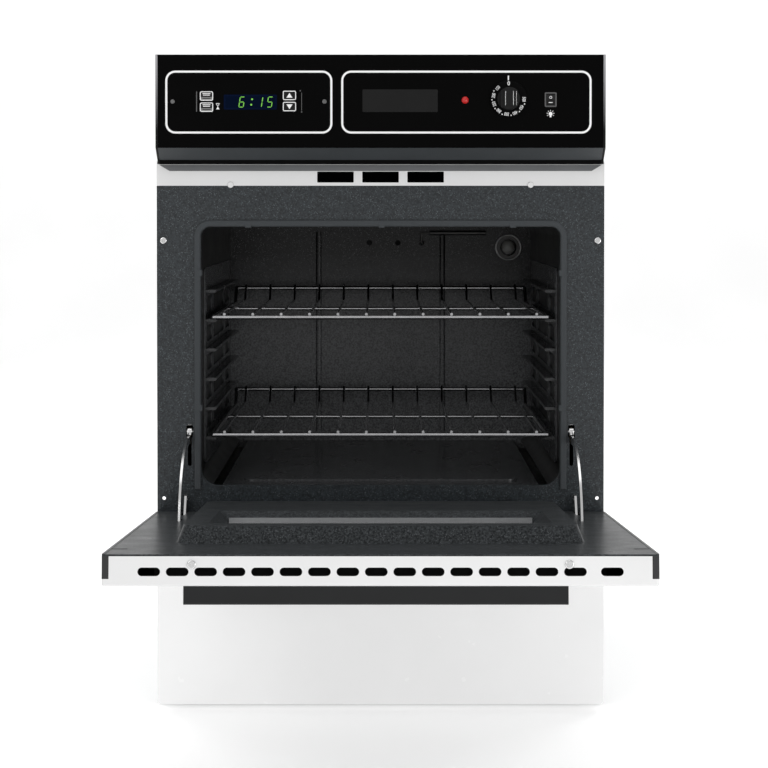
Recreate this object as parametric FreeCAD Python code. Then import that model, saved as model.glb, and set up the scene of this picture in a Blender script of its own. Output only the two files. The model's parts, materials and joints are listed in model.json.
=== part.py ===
"""Built-in gas wall oven with a drop-down oven door and a broiler drawer below it.

Frame: millimetres, +Z up, +X to the right seen from the front, -Y towards the front.
The origin is the centre of the cabinet's underside. The oven door is drawn open.
"""
import FreeCAD
import Part
import math
import os
from FreeCAD import Vector

os.makedirs("parts", exist_ok=True)

# ---------------------------------------------------------------- driving dimensions
WIDTH = 606.0             # front frame, edge to edge
HEIGHT = 876.0            # underside to the top of the control panel
DEPTH = 560.0             # front frame's face to the back panel
CASE_WIDTH = 568.0        # casing behind the frame, fits the cabinet cut-out
SHEET = 1.5               # sheet steel
PROUD = 40.5              # control panel and doors stand this far in front of the frame

FACE = -DEPTH / 2         # y of the front frame's face
BACK = DEPTH / 2          # y of the back panel's outside
PROUD_Y = FACE - PROUD    # y of the control panel's and the closed doors' outside
HALF = WIDTH / 2
CASE = CASE_WIDTH / 2
CASE_IN = CASE - SHEET    # inside face of a side panel

# oven cavity
CAVITY_HALF = 243.0
CAVITY_FLOOR = 296.0
CAVITY_TOP = 646.5
CAVITY_DEPTH = 484.0
CAVITY_BACK = FACE + CAVITY_DEPTH      # y of the rear wall's front
LOW_RADIUS = 23.0
HIGH_RADIUS = 13.0
FLOOR_HALF = 215.0                     # loose floor panel
LEDGE_HALF = 227.0                     # inner edge of the ledges beside it

# front frame
FRAME_BOTTOM = 4.0
FRAME_TOP = 702.0
STRIP_TOP = 735.0
BROILER_LOW, BROILER_HIGH = 24.0, 206.0
SCREW_X = 294.0
SCREW_HIGH_Z = 628.0
MOUNT_HOLE_Z = 278.0
MOUNT_HOLE_R = 2.5
STRIP_SCREW_X, STRIP_SCREW_Z = 203.0, 703.4
VENT_W, VENT_H, VENT_PITCH, VENT_Z = 49.4, 14.8, 61.0, 713.9

# oven door, drawn closed and then swung open about the pivot
PIVOT_Y = FACE - 20.0
PIVOT_Z = 248.0
DOOR_OPEN_DEG = 86.0
DOOR_HALF = 303.0
DOOR_IN = FACE - 6.0                   # closed door's inner face
DOOR_BOTTOM, DOOR_TOP = 235.5, 728.0
TRIM_W = 8.0                           # black side trims, between the white skin's rim and the liner
SKIN_RIM = 8.0                         # the skin is full width for this depth behind its front
PLUG_RISE = 20.0
PLUG_LOW, PLUG_HIGH = PIVOT_Z + 47.5, PIVOT_Z + 378.0
PLUG_HALF = 235.0
PLUG_SLOPE = 8.0
WINDOW_Z = PIVOT_Z + 267.5
SLOT_L, SLOT_H, SLOT_PITCH, SLOT_END = 24.5, 9.2, 30.85, 251.4
SLOT_FROM_INNER = 18.8
HANDLE_HALF, HANDLE_D, HANDLE_LIP = 209.0, 20.0, 34.0
HANDLE_X = -5.0                        # the door's pull sits a little to the left

# hinge arms: arcs about the pivot that run through slots in the frame
ARM_X, ARM_T = 259.0, 3.0
ARM_R_OUT, ARM_R_IN = 116.0, 106.0
ARM_PIN_R, ARM_FIT = 4.0, 0.06
ROLLER_R = 6.0

# racks
RACK_HALF = 230.0
RACK_FRONT, RACK_MID, RACK_REAR = FACE + 33.0, FACE + 258.0, FACE + 445.0
RACK_LEVELS = {"lower_rack": 360.0, "upper_rack": 522.0}
LEDGE_PITCH = 40.5
RAIL_R, WIRE_R = 3.0, 1.9
WIRE_COUNT, WIRE_PITCH = 12, 39.0
REAR_RISE = 23.0

# control panel
PANEL_HALF = 296.5
PANEL_LOW, PANEL_HIGH = 752.0, 876.0
PANEL_T = 3.0
CONTROL_Z = 813.5
KNOB_X, KNOB_Z = 170.0, 816.8
LAMP_X, LAMP_Z = 112.5, 815.5
SWITCH_X, SWITCH_Z = 226.2, 816.0

# broiler drawer
DRAWER_HALF = 298.5
DRAWER_LOW, DRAWER_HIGH = 8.0, 218.0

made = []


# ---------------------------------------------------------------- helpers
def save(name, *solids):
    """Write one sub-part, made of one or more separate solids."""
    shape = solids[0] if len(solids) == 1 else Part.makeCompound(list(solids))
    if not shape.isValid():
        print("NOT VALID", name)
    shape.exportStep("parts/%s.step" % name)
    made.append(name)
    print("%-26s solids %d volume %.0f" % (name, len(shape.Solids), shape.Volume))


def box(x0, x1, y0, y1, z0, z1):
    """A box from its low to its high corner."""
    return Part.makeBox(x1 - x0, y1 - y0, z1 - z0, Vector(x0, y0, z0))


def rod(start, end, radius):
    """A round bar from one point to another."""
    start, end = Vector(*start), Vector(*end)
    run = end - start
    return Part.makeCylinder(radius, run.Length, start, run)


def bent_rod(points, radius):
    """Round bars along a route, with a ball at every bend."""
    bars = [rod(a, b, radius) for a, b in zip(points, points[1:])]
    balls = [Part.makeSphere(radius, Vector(*p)) for p in points[1:-1]]
    return bars[0].multiFuse(bars[1:] + balls).removeSplitter()


def rounded_wire(x0, x1, z0, z1, r_low, r_high, y):
    """A rectangle in the XZ plane with rounded lower and upper corners."""
    corners = [(x0 + r_low, z0 + r_low, 180, 270, r_low), (x1 - r_low, z0 + r_low, 270, 360, r_low),
               (x1 - r_high, z1 - r_high, 0, 90, r_high), (x0 + r_high, z1 - r_high, 90, 180, r_high)]
    edges, ends = [], []
    for cx, cz, a0, a1, r in corners:
        at = [Vector(cx + r * math.cos(math.radians(a)), y, cz + r * math.sin(math.radians(a)))
              for a in (a0, (a0 + a1) / 2, a1)]
        edges.append(Part.Arc(*at).toShape())
        ends.append((at[0], at[2]))
    for k in range(4):
        edges.append(Part.LineSegment(ends[k][1], ends[(k + 1) % 4][0]).toShape())
    return Part.Wire(Part.__sortEdges__(edges))


def rounded_slab(x0, x1, z0, z1, r_low, r_high, y0, y1):
    """A plate of rounded outline, from y0 to y1."""
    face = Part.Face(rounded_wire(x0, x1, z0, z1, r_low, r_high, y0))
    return face.extrude(Vector(0, y1 - y0, 0))


def frustum(half0, low0, high0, y0, half1, low1, high1, y1, radius):
    """A block whose rounded outline changes evenly from y0 to y1."""
    wires = [rounded_wire(-half0, half0, low0, high0, radius, radius, y0),
             rounded_wire(-half1, half1, low1, high1, radius, radius, y1)]
    return Part.makeLoft(wires, True, True)


def side_profile(points, x0, x1):
    """A closed outline in the YZ plane, extruded from x0 to x1."""
    wire = Part.makePolygon([Vector(x0, y, z) for y, z in points + points[:1]])
    return Part.Face(wire).extrude(Vector(x1 - x0, 0, 0))


def mirrored(shape):
    """The same shape on the other side of the middle plane."""
    return shape.mirror(Vector(0, 0, 0), Vector(1, 0, 0))


def both(shape):
    return [shape, mirrored(shape)]


def softened(shape, radius, direction, only=None):
    """Round the straight edges that run along a direction; only(centre) picks some of them."""
    chosen = []
    for edge in shape.Edges:
        if edge.Curve.TypeId != "Part::GeomLine" or (only and not only(edge.CenterOfMass)):
            continue
        if abs(abs(edge.tangentAt(edge.FirstParameter).dot(direction)) - 1) < 1e-6:
            chosen.append(edge)
    return shape.makeFillet(radius, chosen)


def screw(x, y, z, head_r, head_h, shank_r, shank_l, toward):
    """A pan-head screw whose head's seat is at the point; toward is the way its shank goes."""
    seat = Vector(x, y, z)
    head = Part.makeCylinder(head_r, head_h, seat, toward * -1)
    rim = [e for e in head.Edges if (e.CenterOfMass - (seat + toward * -head_h)).Length < 1e-3]
    head = head.makeFillet(head_h * 0.6, rim)
    return head.fuse(Part.makeCylinder(shank_r, shank_l, seat, toward)).removeSplitter()


BACKWARD = Vector(0, 1, 0)
UPWARD = Vector(0, 0, 1)
SIDEWAYS = Vector(1, 0, 0)


def opened(shape):
    """Swing a closed-door shape open about the pivot."""
    shape = shape.copy()
    shape.rotate(Vector(0, PIVOT_Y, PIVOT_Z), SIDEWAYS, DOOR_OPEN_DEG)
    return shape


# ---------------------------------------------------------------- cabinet casing
PANEL_FRONT = FACE + SHEET             # the casing starts behind the front frame's sheet
FLANGE_HALF = 300.0
LID_LOW = HEIGHT - SHEET


def base_pan():
    plate = box(-CASE_IN, CASE_IN, PANEL_FRONT, BACK - SHEET, 0, 2)
    lip = box(-CASE_IN, CASE_IN, PANEL_FRONT, PANEL_FRONT + SHEET, 2, 20)
    return plate.fuse(lip).removeSplitter()


def side_panel():
    """The right side: a sheet with an outward flange behind the frame."""
    sheet = box(CASE_IN, CASE, PANEL_FRONT, BACK, 0, LID_LOW)
    flange = box(CASE_IN, FLANGE_HALF, PANEL_FRONT, PANEL_FRONT + SHEET, FRAME_BOTTOM, LID_LOW)
    panel = sheet.fuse(flange).removeSplitter()
    for z in (SCREW_HIGH_Z, MOUNT_HOLE_Z):
        panel = panel.cut(rod((SCREW_X, FACE, z), (SCREW_X, FACE + 9, z), MOUNT_HOLE_R))
    for k in range(6):
        z = 790 + 11 * k
        panel = panel.cut(softened(box(CASE_IN - 1, CASE + 1, 150, 230, z, z + 4), 1.9, SIDEWAYS))
    return panel


def top_panel():
    lid = box(-CASE_IN, CASE_IN, FACE, BACK - SHEET, LID_LOW, HEIGHT)
    return lid.fuse(box(-PANEL_HALF, PANEL_HALF, PROUD_Y + PANEL_T, FACE, LID_LOW, HEIGHT)).removeSplitter()


GAS_X, GAS_Z = 200.0, 262.0
GLAND_X, GLAND_Z = -200.0, 690.0
GAS_R = 10.67                          # 1/2 inch pipe
GAS_FREE = 20.0                        # length that stands out behind the cabinet
GLAND_R = 11.0


def back_panel():
    sheet = box(-CASE_IN, CASE_IN, BACK - SHEET, BACK, 0, LID_LOW)
    pipe_hole = rod((GAS_X, BACK - 5, GAS_Z), (GAS_X, BACK + 5, GAS_Z), GAS_R + 1.5)
    gland_hole = rod((GLAND_X, BACK - 5, GLAND_Z), (GLAND_X, BACK + 5, GLAND_Z), GLAND_R)
    sheet = sheet.cut(pipe_hole).cut(gland_hole)
    for k in range(9):
        x = -160 + 40 * k
        sheet = sheet.cut(softened(box(x - 14, x + 14, BACK - 5, BACK + 5, 800, 806), 2.9, BACKWARD))
    return sheet


def power_gland():
    collar = rod((GLAND_X, BACK - 8, GLAND_Z), (GLAND_X, BACK + 5, GLAND_Z), GLAND_R)
    rim = rod((GLAND_X, BACK, GLAND_Z), (GLAND_X, BACK + 3, GLAND_Z), GLAND_R + 3)
    nut = rod((GLAND_X, BACK - 7, GLAND_Z), (GLAND_X, BACK - SHEET, GLAND_Z), GLAND_R + 4)
    bore = rod((GLAND_X, BACK - 9, GLAND_Z), (GLAND_X, BACK + 6, GLAND_Z), 6.0)
    return collar.multiFuse([rim, nut]).cut(bore).removeSplitter()


def divider():
    """The shelf between the oven and the control compartment."""
    shelf = box(-CASE_IN, CASE_IN, FACE + 4, BACK - SHEET, 736, 737.5)
    return shelf.fuse(box(-CASE_IN, CASE_IN, BACK - 4, BACK - SHEET, 737.5, 750)).removeSplitter()


# ---------------------------------------------------------------- front frame and top strip
def hinge_slot(x):
    narrow = box(x - 2.6, x + 2.6, FACE - 1, PANEL_FRONT + 1, 322, 366)
    wide = box(x - 4.6, x + 4.6, FACE - 1, PANEL_FRONT + 1, 360, 378)
    return softened(narrow, 2.5, BACKWARD).fuse(softened(wide, 3.0, BACKWARD))


def front_frame():
    sheet = box(-HALF, HALF, FACE, PANEL_FRONT, FRAME_BOTTOM, FRAME_TOP)
    returns = both(box(HALF - SHEET, HALF, PANEL_FRONT, FACE + 14, FRAME_BOTTOM, FRAME_TOP))
    frame = sheet.multiFuse(returns)
    cuts = [rounded_slab(-CAVITY_HALF, CAVITY_HALF, CAVITY_FLOOR, CAVITY_TOP, LOW_RADIUS, HIGH_RADIUS,
                         FACE - 1, PANEL_FRONT + 1),
            rounded_slab(-CAVITY_HALF, CAVITY_HALF, BROILER_LOW, BROILER_HIGH, 6, 6,
                         FACE - 1, PANEL_FRONT + 1)]
    cuts += both(hinge_slot(ARM_X))
    for z in (SCREW_HIGH_Z, MOUNT_HOLE_Z):
        cuts += both(rod((SCREW_X, FACE - 1, z), (SCREW_X, FACE + 9, z), MOUNT_HOLE_R))
    cuts += both(rod((STRIP_SCREW_X, FACE - 1, STRIP_SCREW_Z), (STRIP_SCREW_X, FACE + 9, STRIP_SCREW_Z), 2.4))
    for cut in cuts:
        frame = frame.cut(cut)
    return frame.removeSplitter()


def top_trim_strip():
    strip = box(-HALF, HALF, FACE, PANEL_FRONT, FRAME_TOP + 0.2, STRIP_TOP)
    strip = strip.multiFuse(both(box(HALF - SHEET, HALF, PANEL_FRONT, FACE + 14, FRAME_TOP + 0.2, STRIP_TOP)))
    for k in (-1, 0, 1):
        x = k * VENT_PITCH
        vent = box(x - VENT_W / 2, x + VENT_W / 2, FACE - 1, PANEL_FRONT + 1,
                   VENT_Z - VENT_H / 2, VENT_Z + VENT_H / 2)
        strip = strip.cut(softened(vent, 1.0, BACKWARD))
    for hole in both(rod((STRIP_SCREW_X, FACE - 1, STRIP_SCREW_Z),
                         (STRIP_SCREW_X, FACE + 9, STRIP_SCREW_Z), 2.4)):
        strip = strip.cut(hole)
    return strip.removeSplitter()


def frame_screws():
    seats = [(x, SCREW_HIGH_Z, 4.6) for x in (-SCREW_X, SCREW_X)]
    seats += [(x, STRIP_SCREW_Z, 4.2) for x in (-STRIP_SCREW_X, STRIP_SCREW_X)]
    return [screw(x, FACE, z, r, 2.2, 2.0, 8.0, BACKWARD) for x, z, r in seats]


# ---------------------------------------------------------------- oven cavity
WRAP_T = 1.5


def cavity_wrap():
    """Sides, ceiling and floor ledges, bent from one sheet."""
    y0, y1 = PANEL_FRONT, CAVITY_BACK
    outer = rounded_slab(-CAVITY_HALF - WRAP_T, CAVITY_HALF + WRAP_T, CAVITY_FLOOR - WRAP_T,
                         CAVITY_TOP + WRAP_T, LOW_RADIUS + WRAP_T, HIGH_RADIUS + WRAP_T, y0, y1)
    inner = rounded_slab(-CAVITY_HALF, CAVITY_HALF, CAVITY_FLOOR, CAVITY_TOP, LOW_RADIUS, HIGH_RADIUS,
                         y0 - 1, y1 + 1)
    seat = box(-LEDGE_HALF, LEDGE_HALF, y0 - 1, y1 + 1, CAVITY_FLOOR - 3, CAVITY_FLOOR + 3)
    wrap = outer.cut(inner).cut(seat)
    flue = rod((0, FLUE_Y, CAVITY_TOP - 3), (0, FLUE_Y, CAVITY_TOP + 5), FLUE_R)
    return wrap.cut(flue)


FLUE_Y, FLUE_R = FACE + 80.0, 20.0
OVEN_LAMP_X, OVEN_LAMP_Z, OVEN_LAMP_R = 206.8, 609.0, 17.0
RIB_X, RIB_W, RIB_D = 100.0, 9.0, 4.0
REAR_HOLES = (-18.0, 28.0, 66.0)


def cavity_back():
    sheet = box(-250, 250, CAVITY_BACK, CAVITY_BACK + WRAP_T, 284, 656)
    ribs = []
    for x in (-RIB_X, RIB_X):
        rib = box(x - RIB_W / 2, x + RIB_W / 2, CAVITY_BACK - RIB_D, CAVITY_BACK, 312, 634)
        ribs.append(softened(rib, 3.5, UPWARD, lambda at: at.y < CAVITY_BACK - 1))
    sheet = sheet.multiFuse(ribs)
    for x in REAR_HOLES:
        sheet = sheet.cut(rod((x, CAVITY_BACK - 5, 616.5), (x, CAVITY_BACK + 5, 616.5), 4.5))
    lamp = rod((OVEN_LAMP_X, CAVITY_BACK - 5, OVEN_LAMP_Z),
               (OVEN_LAMP_X, CAVITY_BACK + 5, OVEN_LAMP_Z), OVEN_LAMP_R)
    return sheet.cut(lamp).removeSplitter()


def cavity_floor():
    """A lift-out panel; hot air rises through the gaps left on both sides of it."""
    panel = box(-FLOOR_HALF, FLOOR_HALF, PANEL_FRONT, CAVITY_BACK, CAVITY_FLOOR - WRAP_T, CAVITY_FLOOR)
    swage = box(-FLOOR_HALF + 26, FLOOR_HALF - 26, FACE + 40, CAVITY_BACK - 30,
                CAVITY_FLOOR, CAVITY_FLOOR + 2)
    panel = panel.fuse(softened(swage, 14, UPWARD))
    lips = both(box(FLOOR_HALF - WRAP_T, FLOOR_HALF, PANEL_FRONT, CAVITY_BACK, CAVITY_FLOOR - 9,
                    CAVITY_FLOOR - WRAP_T))
    return panel.multiFuse(lips).removeSplitter()


def rack_guide():
    """The right side: a pressed ladder with ledges for six rack heights."""
    lowest = RACK_LEVELS["lower_rack"] - RAIL_R
    y0, y1 = FACE + 34, FACE + 446
    plate = box(CAVITY_HALF - 2.5, CAVITY_HALF - 0.3, y0, y1, 320, 590)
    plate = softened(plate, 10, SIDEWAYS)
    windows, ledges = [], []
    for k in range(6):
        z = lowest + k * LEDGE_PITCH
        ledge = box(RACK_HALF - 3.5, CAVITY_HALF - 2.5, y0 + 6, y1 - 6, z - 4, z)
        ledges.append(softened(ledge, 1.8, BACKWARD))
        if k == 5:
            continue
        for a, b in ((y0 + 22, y0 + 96), (y0 + 122, y0 + 290), (y0 + 316, y1 - 22)):
            windows.append(softened(box(CAVITY_HALF - 4, CAVITY_HALF, a, b, z + 8, z + 30), 6, SIDEWAYS))
    for window in windows:
        plate = plate.cut(window)
    return plate.multiFuse(ledges).removeSplitter()


def rack(level):
    """A welded wire shelf whose rear end steps up, so that it can't be pulled right out."""
    z = level
    step_y = RACK_REAR - 22
    side = bent_rod([(RACK_HALF, RACK_FRONT, z), (RACK_HALF, step_y, z),
                     (RACK_HALF, RACK_REAR, z + REAR_RISE)], RAIL_R)
    parts = both(side)
    parts += [rod((-RACK_HALF, RACK_FRONT, z), (RACK_HALF, RACK_FRONT, z), RAIL_R),
              rod((-RACK_HALF, RACK_REAR, z + REAR_RISE), (RACK_HALF, RACK_REAR, z + REAR_RISE), RAIL_R),
              rod((-RACK_HALF, RACK_MID, z), (RACK_HALF, RACK_MID, z), RAIL_R - 0.4)]
    parts += [Part.makeSphere(RAIL_R, Vector(x, y, h)) for x in (-RACK_HALF, RACK_HALF)
              for y, h in ((RACK_FRONT, z), (RACK_REAR, z + REAR_RISE))]
    top = z + RAIL_R + WIRE_R - 0.6
    for k in range(WIRE_COUNT):
        x = (k - (WIRE_COUNT - 1) / 2) * WIRE_PITCH
        parts.append(bent_rod([(x, RACK_FRONT - 1, top), (x, step_y - 3, top),
                               (x, RACK_REAR - 3, top + REAR_RISE),
                               (x, RACK_REAR + 2, top + REAR_RISE)], WIRE_R))
    whole = parts[0].multiFuse(parts[1:]).removeSplitter()
    split = step_y - 5                 # the shelf and its rear step are welded together here
    shelf = whole.common(box(-CASE, CASE, FACE - 50, split, 0, HEIGHT))
    step = whole.common(box(-CASE, CASE, split, BACK, 0, HEIGHT))
    return shelf.Solids + step.Solids


def lamp_socket():
    """Porcelain holder behind the rear wall, with the ring that shows in the cavity."""
    y = CAVITY_BACK
    x, z = OVEN_LAMP_X, OVEN_LAMP_Z
    ring = rod((x, y - 3, z), (x, y, z), OVEN_LAMP_R + 3.5)
    body = rod((x, y - 3, z), (x, y + 34, z), OVEN_LAMP_R - 0.5)
    hollow = rod((x, y - 4, z), (x, y + 28, z), OVEN_LAMP_R - 3.5)
    return ring.fuse(body).cut(hollow).removeSplitter()


def lamp_bulb():
    x, z = OVEN_LAMP_X, OVEN_LAMP_Z
    y = CAVITY_BACK
    glass = Part.makeSphere(11.5, Vector(x, y + 2, z))
    neck = rod((x, y + 2, z), (x, y + 28, z), 7.0)
    return glass.fuse(neck).removeSplitter()


def insulation_wrap():
    """Mineral-wool jacket round the cavity, and a second slab behind it."""
    y0, y1 = FACE + 6, CAVITY_BACK
    jacket = box(-CASE_IN + 2, CASE_IN - 2, y0, y1, CAVITY_FLOOR + 2, 690)
    jacket = jacket.cut(box(-CAVITY_HALF - 3, CAVITY_HALF + 3, y0 - 1, y1 + 1, CAVITY_FLOOR, CAVITY_TOP + 3))
    for pocket in both(box(ARM_X - 7, CASE, y0 - 1, FACE + 116, CAVITY_FLOOR, 384)):
        jacket = jacket.cut(pocket)
    jacket = jacket.cut(rod((0, FLUE_Y, CAVITY_TOP), (0, FLUE_Y, 692), FLUE_R + 5))
    slab = box(-CASE_IN + 2, CASE_IN - 2, CAVITY_BACK + 3, CAVITY_BACK + 45, CAVITY_FLOOR - 8, 690)
    slab = slab.cut(rod((OVEN_LAMP_X, CAVITY_BACK, OVEN_LAMP_Z),
                        (OVEN_LAMP_X, CAVITY_BACK + 50, OVEN_LAMP_Z), OVEN_LAMP_R + 2))
    slab = slab.cut(rod((BULB_X, CAVITY_BACK, BULB_Z), (BULB_X, CAVITY_BACK + 50, BULB_Z), 5))
    return [jacket, slab]


def flue_duct():
    """Leads the flue gas from the ceiling hole to the three vents above the door."""
    z0, z1 = 692.0, 730.0
    shell = box(-98, 98, PANEL_FRONT, FACE + 112, z0, z1)
    hollow = box(-96.8, 96.8, PANEL_FRONT - 1, FACE + 110.8, z0 + 1.2, z1 - 1.2)
    riser = rod((0, FLUE_Y, CAVITY_TOP + WRAP_T), (0, FLUE_Y, z0 + 0.6), FLUE_R + 2)
    throat = rod((0, FLUE_Y, CAVITY_TOP), (0, FLUE_Y, z0 + 5), FLUE_R)
    return shell.cut(hollow).fuse(riser).cut(throat).removeSplitter()


BULB_X, BULB_Z = 66.0, 616.5


def thermostat_bulb():
    """The thermostat's sensing bulb and its capillary, which leaves by a rear hole."""
    bulb = rod((BULB_X + 14, CAVITY_BACK - 8.5, BULB_Z + 16),
               (BULB_X + 104, CAVITY_BACK - 8.5, BULB_Z + 16), 3.6)
    tube = bent_rod([(BULB_X + 16, CAVITY_BACK - 8.5, BULB_Z + 16), (BULB_X, CAVITY_BACK - 8.5, BULB_Z + 16),
                     (BULB_X, CAVITY_BACK - 8.5, BULB_Z), (BULB_X, CAVITY_BACK + 20, BULB_Z)], 1.2)
    return bulb.fuse(tube).removeSplitter()


def door_gasket():
    """A woven seal on the frame, up one side of the opening, across the top and down the other."""
    y0, y1 = FACE - 5.0, FACE
    near, far = 0.5, 9.0
    outer = rounded_slab(-CAVITY_HALF - far, CAVITY_HALF + far, 270, CAVITY_TOP + far,
                         5, HIGH_RADIUS + far, y0, y1)
    inner = rounded_slab(-CAVITY_HALF - near, CAVITY_HALF + near, 260, CAVITY_TOP + near,
                         5, HIGH_RADIUS + near, y0 - 1, y1 + 1)
    seal = outer.cut(inner).cut(box(-HALF, HALF, y0 - 1, y1 + 1, 250, 290))
    front = [e for e in seal.Edges if abs(e.CenterOfMass.y - y0) < 1e-3]
    return seal.makeFillet(2.0, front)


def gasket_clips():
    """Small steel clips that hold the seal at the opening's edge."""
    clips = []
    for x in (-179.0, 1.5, 179.0):
        clips.append(box(x - 4, x + 4, FACE - 5.6, FACE - 5.0, CAVITY_TOP - 1, CAVITY_TOP + 8)
                     .fuse(box(x - 4, x + 4, FACE - 5.0, FACE + 8, CAVITY_TOP - 1, CAVITY_TOP)))
    for x in (-1, 1):
        for z in (584.0, 401.0):
            tab = sorted((x * (CAVITY_HALF - 1), x * (CAVITY_HALF + 8)))
            hook = sorted((x * (CAVITY_HALF - 1), x * CAVITY_HALF))
            clips.append(box(tab[0], tab[1], FACE - 5.6, FACE - 5.0, z - 4, z + 4)
                         .fuse(box(hook[0], hook[1], FACE - 5.0, FACE + 8, z - 4, z + 4)))
    return [c.removeSplitter() for c in clips]


# ---------------------------------------------------------------- oven door, drawn closed
SKIN_HALF = DOOR_HALF - TRIM_W
SKIN_BACK = DOOR_IN - 2.0
GLASS_HALF, GLASS_HIGH = 212.0, 184.0


def top_edge_slots():
    """The row of round-ended air slots along the door's top edge."""
    y = DOOR_IN - SLOT_FROM_INNER
    centres = [-SLOT_END + SLOT_PITCH * k for k in range(16)] + [SLOT_END]
    slots = []
    for x in centres:
        slot = box(x - SLOT_L / 2, x + SLOT_L / 2, y - SLOT_H / 2, y + SLOT_H / 2, DOOR_TOP - 6, DOOR_TOP + 3)
        slots.append(softened(slot, SLOT_H / 2 - 0.05, UPWARD))
    return slots


def door_outer_skin():
    """White pan: full-width front with a short rim, and narrower top and bottom edges behind it."""
    rim_y = PROUD_Y + SKIN_RIM
    front = box(-DOOR_HALF, DOOR_HALF, PROUD_Y, rim_y, DOOR_BOTTOM, DOOR_TOP)
    front = softened(front, 3.0, BACKWARD)
    front = softened(front, 2.4, SIDEWAYS, lambda at: at.y < PROUD_Y + 1)
    front = front.cut(box(-DOOR_HALF + SHEET, DOOR_HALF - SHEET, PROUD_Y + SHEET, rim_y + 1,
                          DOOR_BOTTOM + SHEET, DOOR_TOP - SHEET))
    edges = box(-SKIN_HALF, SKIN_HALF, rim_y - 1, SKIN_BACK, DOOR_BOTTOM, DOOR_TOP)
    edges = edges.cut(box(-SKIN_HALF - 1, SKIN_HALF + 1, rim_y - 2, SKIN_BACK + 1,
                          DOOR_BOTTOM + SHEET, DOOR_TOP - SHEET))
    skin = front.fuse(edges).removeSplitter()
    for slot in top_edge_slots():
        skin = skin.cut(slot)
    openings = both(rod((205, DOOR_IN - 10.7, DOOR_TOP - 5), (205, DOOR_IN - 10.7, DOOR_TOP + 3), 2.4))
    openings += both(box(ARM_X + 1.2, ARM_X + 8, PIVOT_Y - 11, DOOR_IN, DOOR_BOTTOM - 1, DOOR_BOTTOM + 3))
    for opening in openings:
        skin = skin.cut(opening)
    window = rounded_slab(-GLASS_HALF, GLASS_HALF, WINDOW_Z - GLASS_HIGH / 2, WINDOW_Z + GLASS_HIGH / 2,
                          12, 12, PROUD_Y - 1, PROUD_Y + 3)
    return skin.cut(window).removeSplitter()


def door_side_trims():
    """Black bars that close the door's two sides behind the skin's rim."""
    trim = box(SKIN_HALF + 0.2, DOOR_HALF - 0.2, PROUD_Y + SKIN_RIM + 0.2, DOOR_IN - SHEET - 0.2,
               DOOR_BOTTOM + 0.4, DOOR_TOP - 0.4)
    return both(softened(trim, 1.2, BACKWARD))


def plug_outline(inset, y0, y1):
    """The raised centre of the inner panel, drawn in by inset on every side."""
    s = PLUG_SLOPE
    return frustum(PLUG_HALF - inset, PLUG_LOW + inset, PLUG_HIGH - inset, y0,
                   PLUG_HALF - s - inset, PLUG_LOW + s + inset, PLUG_HIGH - s - inset, y1, 16 - inset)


RECESS_HALF, RECESS_HIGH = 200.0, 155.0
PANE_HALF, PANE_HIGH = 188.0, 120.0


def recess_outline(grow, y0, y1):
    """The sloped frame round the inner window, from the plug's top down to the glass."""
    pane_high, recess_high = PANE_HIGH / 2 + grow, RECESS_HIGH / 2 + grow
    return frustum(PANE_HALF + grow, WINDOW_Z - pane_high, WINDOW_Z + pane_high, y0,
                   RECESS_HALF + grow, WINDOW_Z - recess_high, WINDOW_Z + recess_high, y1, 8 + grow)


def door_inner_panel():
    """Enamelled liner with a raised plug that enters the cavity and a sunk window frame."""
    crown = DOOR_IN + PLUG_RISE
    low, high = DOOR_BOTTOM, DOOR_TOP - 0.2
    plate = softened(box(-DOOR_HALF, DOOR_HALF, DOOR_IN - SHEET, DOOR_IN, low, high), 3.0, BACKWARD)
    panel = plate.fuse(plug_outline(0, DOOR_IN - SHEET, crown))
    panel = panel.cut(plug_outline(SHEET, DOOR_IN - SHEET - 0.01, crown - SHEET))
    panel = panel.fuse(recess_outline(SHEET, crown - 12, crown - 0.01))
    panel = panel.cut(recess_outline(0, crown - 12.01, crown + 0.01))
    notches = both(box(ARM_X + 1.2, ARM_X + 8, DOOR_IN - 12, DOOR_IN + 1, low - 1, PIVOT_Z + 40))
    notches += both(box(ARM_X - 2.4, ARM_X + 2.4, DOOR_IN - 12, DOOR_IN + 1, PIVOT_Z + 92, PIVOT_Z + 122))
    notches.append(box(-8, 8, DOOR_IN - 4, DOOR_IN + 1, high - 1.2, high + 1))
    for notch in notches:
        panel = panel.cut(notch)
    return panel.removeSplitter()


def door_window_inner():
    crown = DOOR_IN + PLUG_RISE
    return rounded_slab(-PANE_HALF - 5, PANE_HALF + 5, WINDOW_Z - PANE_HIGH / 2 - 5,
                        WINDOW_Z + PANE_HIGH / 2 + 5, 10, 10, crown - 16.1, crown - 12.1)


def door_window_outer():
    return rounded_slab(-GLASS_HALF + 0.6, GLASS_HALF - 0.6, WINDOW_Z - GLASS_HIGH / 2 + 0.6,
                        WINDOW_Z + GLASS_HIGH / 2 - 0.6, 11.4, 11.4, PROUD_Y - 0.5, PROUD_Y + 3.5)


def door_insulation():
    slab = box(-250, 250, PROUD_Y + 5, DOOR_IN - SHEET - 0.5, DOOR_BOTTOM + 14, DOOR_TOP - 40)
    tunnel = box(-GLASS_HALF, GLASS_HALF, PROUD_Y, DOOR_IN,
                 WINDOW_Z - GLASS_HIGH / 2, WINDOW_Z + GLASS_HIGH / 2)
    return slab.cut(tunnel)


def pull_profile(top):
    """J section: a mounting leg on the front, a flat top and a lip that hangs in front."""
    y = PROUD_Y
    return [(y, top), (y - HANDLE_D + 1.5, top), (y - HANDLE_D, top - 1.5), (y - HANDLE_D, top - HANDLE_LIP),
            (y - HANDLE_D + 2, top - HANDLE_LIP), (y - HANDLE_D + 2, top - 2), (y - 2, top - 2),
            (y - 2, top - 22), (y, top - 22)]


def door_handle():
    return side_profile(pull_profile(DOOR_TOP - 1.0), HANDLE_X - HANDLE_HALF, HANDLE_X + HANDLE_HALF)


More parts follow.
